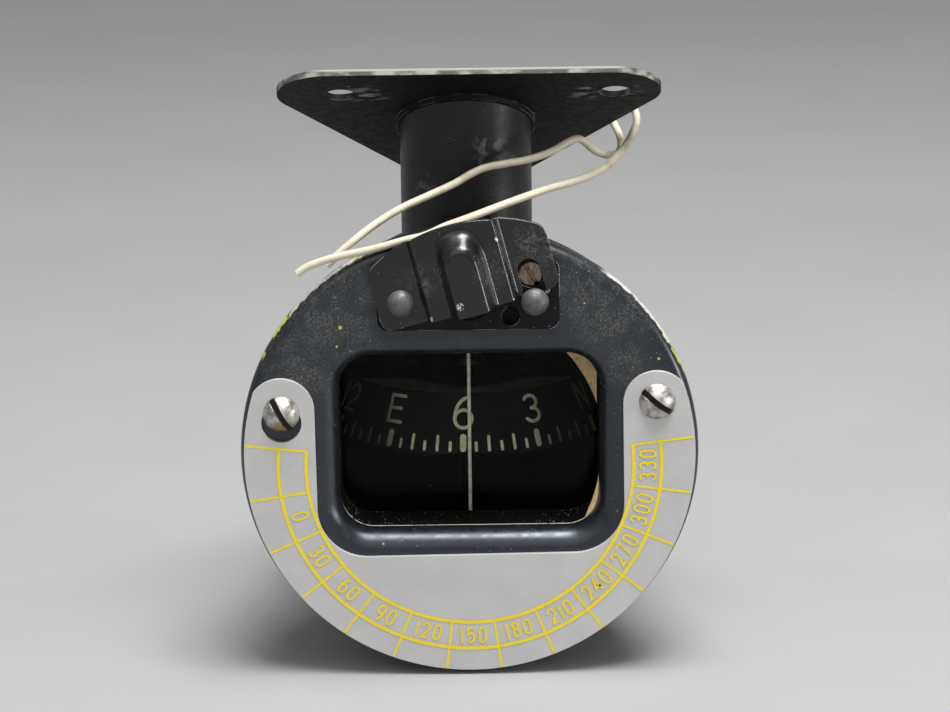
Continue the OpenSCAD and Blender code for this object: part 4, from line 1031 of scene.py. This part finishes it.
def make_window_shade_liner():
    """A tube of painted shade just inside the window's wall, in rings from front to back."""
    outline = []
    for x, z, start in ((1, 1, 0), (-1, 1, 90), (-1, -1, 180), (1, -1, 270)):
        outline += window_corner(x, z, LINER_T, start)
    count = len(outline)
    points = [on_face(x, -depth, z) for depth in LINER_RINGS for x, z in outline]
    faces = []
    for ring in range(len(LINER_RINGS) - 1):
        for k in range(count):
            a, b = ring * count + k, ring * count + (k + 1) % count
            faces.append((a, b, b + count, a + count))
    make_piece("window_shade_lining", points, faces, "case", window_shade_black())


make_window_shade_liner()


# Corner of the slipped gasket that has worked forward and shows at the window's lower right

GASKET_CORNER_DEPTH = 4.5
GASKET_CORNER_T = 0.8
GASKET_CORNER_EDGE = [
    (20.54, -14.2), (20.98, -13.28), (22.09, -10.44), (22.69, -8.6), (23.19, -6.65), (23.38, -5.2),
]


def make_gasket_corner():
    """A thin slab between the gasket's edge and the window's corner."""
    outer = window_corner(1, -1, 2 * LINER_T, 270)
    outline = [p for p in outer if p[0] > GASKET_CORNER_EDGE[0][0]] + GASKET_CORNER_EDGE[::-1]
    count = len(outline)
    depths = (GASKET_CORNER_DEPTH, GASKET_CORNER_DEPTH + GASKET_CORNER_T)
    points = [on_face(x, -depth, z) for depth in depths for x, z in outline]
    faces = [tuple(range(count)), tuple(range(2 * count - 1, count - 1, -1))]
    faces += [(k, k + count, (k + 1) % count + count, (k + 1) % count) for k in range(count)]
    make_piece("gasket_corner", points, faces, "case", FINISHES["cork"])


make_gasket_corner()


# Painted shade in the mouth of the vent under the plate

VENT_AT = (7.64, 25.59)
VENT_R = 1.6
VENT_AHEAD = 0.05
VENT_SIDES = 24


def make_vent_shade_disc():
    """A dark disc of painted shade over the vent's hole."""
    turn = 360 / VENT_SIDES
    rim = arc(*VENT_AT, VENT_R, VENT_R, 0, 360 - turn, VENT_SIDES - 1)
    points = [on_face(x, VENT_AHEAD, z) for x, z in rim]
    make_piece("vent_shade_disc", points, [tuple(range(len(rim)))], "case", FINISHES["dial"])


make_vent_shade_disc()


# Swing cover, a pressed sheet with a raised middle and a rounded hump over the lamp

# Places on it are x and z from the pivot stud, with the cover closed
COVER_OPEN = math.radians(14.5)
COVER_T = 0.8
COVER_FRONT = 2.2
STUD_X = 11.9
PLATE_HALF_W = 16.3
COVER_TOP_R = 29.5
COVER_RISE = 11.8
COVER_FALL = 4.4
CORNER_TOP_R = 3
CORNER_LOW_R = 2
RAISE = 2.0
RAISE_LEFT = 3.6
RAISE_RIGHT = 20.7
RAISE_RUN = 1.3
HUMP_X = 12.4
HUMP_END = 3.2
HUMP_STRETCH = 0.62
HUMP_SQUARE = 2.7
HUMP_H = 3.3
HUMP_NOSE_R = 2.3
HUMP_FOOT_R = 4.7
NOTCH_X = 23.5
NOTCH_R = 2
STUD_HOLE_R = 1.45
COVER_STEP = 0.3
LOW_ROWS = 16
HIGH_ROWS = 36
COVER_EDGE_W = 0.12
COVER_EDGE_ANGLE = math.radians(50)


def cover_top(x):
    """Height of the closed cover's upper edge above the studs."""
    away = abs(x - STUD_X)
    corner_x = PLATE_HALF_W - CORNER_TOP_R
    corner_arc_r = COVER_TOP_R - CORNER_TOP_R
    if away < corner_x * COVER_TOP_R / corner_arc_r:
        return COVER_RISE - COVER_TOP_R + math.sqrt(COVER_TOP_R ** 2 - away ** 2)
    corner_z = COVER_RISE - COVER_TOP_R + math.sqrt(corner_arc_r ** 2 - corner_x ** 2)
    return corner_z + math.sqrt(max(CORNER_TOP_R ** 2 - (away - corner_x) ** 2, 0))


def cover_low(x):
    """Height of the closed cover's lower edge above the studs, without the notch."""
    over = abs(x - STUD_X) - (PLATE_HALF_W - CORNER_LOW_R)
    drop = CORNER_LOW_R if over < 0 else math.sqrt(max(CORNER_LOW_R ** 2 - over ** 2, 0))
    return CORNER_LOW_R - drop - COVER_FALL


def cover_depth(x, z):
    """How far the cover's front stands ahead of the face."""
    raised = eased(RAISE_LEFT, RAISE_LEFT + RAISE_RUN, x)
    raised *= 1 - eased(RAISE_RIGHT - RAISE_RUN, RAISE_RIGHT, x)
    across, along = abs(x - HUMP_X), HUMP_STRETCH * max(z - HUMP_END, 0)
    away = (across ** HUMP_SQUARE + along ** HUMP_SQUARE) ** (1 / HUMP_SQUARE)
    hump = 1 - eased(HUMP_NOSE_R, HUMP_FOOT_R, away)
    return COVER_FRONT + RAISE * raised + HUMP_H * hump


def cover_columns():
    """Columns from left to right, with one on each side of the notch."""
    left, right = STUD_X - PLATE_HALF_W, STUD_X + PLATE_HALF_W
    stops = [left, NOTCH_X - NOTCH_R, NOTCH_X + NOTCH_R, right]
    columns = [left]
    for a, b in zip(stops, stops[1:]):
        count = math.ceil((b - a) / COVER_STEP)
        columns += [a + (b - a) * k / count for k in range(1, count + 1)]
    return columns


def make_cover():
    """The cover as a grid of points over its outline, open in the notch and round the pivot stud."""
    stud_low, stud_high = node_box("cover_pivot_stud")
    pivot = (stud_low + stud_high) / 2
    columns = cover_columns()
    rows = LOW_ROWS + HIGH_ROWS

    def opened(x, z):
        """The point of the part for a flat point of the cover, at the photograph's opening."""
        turned_x = x * math.cos(COVER_OPEN) - z * math.sin(COVER_OPEN)
        turned_z = x * math.sin(COVER_OPEN) + z * math.cos(COVER_OPEN)
        return pivot.x + turned_x, face_centre.y - cover_depth(x, z), pivot.z + turned_z

    flat = []
    for x in columns:
        low, top = cover_low(x), cover_top(x)
        cut = abs(x - NOTCH_X) < NOTCH_R - 1e-6
        seam = math.sqrt(NOTCH_R ** 2 - (x - NOTCH_X) ** 2) if cut else 0.0
        heights = [low + (seam - low) * k / LOW_ROWS for k in range(LOW_ROWS)]
        heights += [seam + (top - seam) * k / HIGH_ROWS for k in range(HIGH_ROWS + 1)]
        flat += [(x, z) for z in heights]
    points = [opened(x, z) for x, z in flat]

    faces = []
    for c in range(len(columns) - 1):
        in_notch = abs((columns[c] + columns[c + 1]) / 2 - NOTCH_X) < NOTCH_R
        for r in range(LOW_ROWS if in_notch else 0, rows):
            a = c * (rows + 1) + r
            corners = (a, a + rows + 1, a + rows + 2, a + 1)
            if all(math.hypot(*flat[k]) > STUD_HOLE_R for k in corners):
                faces.append(corners)
    cover = make_piece("swing_cover_sheet", points, faces, "cover", FINISHES["cover"])
    cover.data.validate()
    for polygon in cover.data.polygons:
        polygon.use_smooth = True
    sheet = cover.modifiers.new("sheet", "SOLIDIFY")
    sheet.thickness = COVER_T * MM
    sheet.offset = -1
    edge = cover.modifiers.new("edge", "BEVEL")
    edge.width = COVER_EDGE_W * MM
    edge.segments = 2
    edge.limit_method = "ANGLE"
    edge.angle_limit = COVER_EDGE_ANGLE
    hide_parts("swing_cover")


make_cover()


# Stage and light

FLOOR_SIZE = 6000
FLOOR_GAP = 0.2
FLOOR_DARK = (0.30, 0.30, 0.30)
FLOOR_PALE = (0.33, 0.33, 0.33)
KEY_AT = (120, -210, 880)
KEY_SIZE = 480
KEY_POWER = 17.0
FRONT_AT = (-150, -800, 650)
FRONT_SIZE = 1000
FRONT_POWER = 2.6
SIDE_AT = (650, -300, -10)
SIDE_SIZE = 170
SIDE_POWER = 0.12
SIDE_SPREAD = math.radians(50)
WORLD_LIGHT = 0.33


def make_floor():
    """A wide sheet of pale grey paper, just below the part."""
    half = FLOOR_SIZE / 2 * MM
    z = cad_low.z - FLOOR_GAP * MM
    mesh = bpy.data.meshes.new("floor")
    corners = [(-half, -half, z), (half, -half, z), (half, half, z), (-half, half, z)]
    mesh.from_pydata(corners, [], [(0, 1, 2, 3)])
    f = Finish("floor_paper", Specular_IOR_Level=0.1)
    f.set(Base_Color=f.mix(f.noise(40), FLOOR_DARK, FLOOR_PALE), Roughness=0.9)
    mesh.materials.append(f.material)
    floor = bpy.data.objects.new("floor", mesh)
    scene.collection.objects.link(floor)


def make_area_light(name, at, aim, size, power, spread=math.pi):
    """A square lamp at a place, turned to its aim. A small spread keeps its light off the floor."""
    data = bpy.data.lights.new(name, "AREA")
    data.shape = "SQUARE"
    data.size = size * MM
    data.energy = power
    data.spread = spread
    light = bpy.data.objects.new(name, data)
    turn = (Vector(aim) - Vector(at)).to_track_quat("-Z", "Y").to_matrix().to_4x4()
    light.matrix_world = Matrix.Translation(Vector(at) * MM) @ turn
    scene.collection.objects.link(light)


def make_world():
    """An even white surround."""
    world = bpy.data.worlds.new("studio")
    world.use_nodes = True
    background = world.node_tree.nodes["Background"]
    background.inputs["Color"].default_value = (1, 1, 1, 1)
    background.inputs["Strength"].default_value = WORLD_LIGHT
    scene.world = world


make_floor()
make_area_light("key", KEY_AT, face_centre, KEY_SIZE, KEY_POWER)
make_area_light("front", FRONT_AT, face_centre, FRONT_SIZE, FRONT_POWER)
make_area_light("side", SIDE_AT, face_centre, SIDE_SIZE, SIDE_POWER, SIDE_SPREAD)
make_world()


# The closing call

bpy.context.view_layer.update()
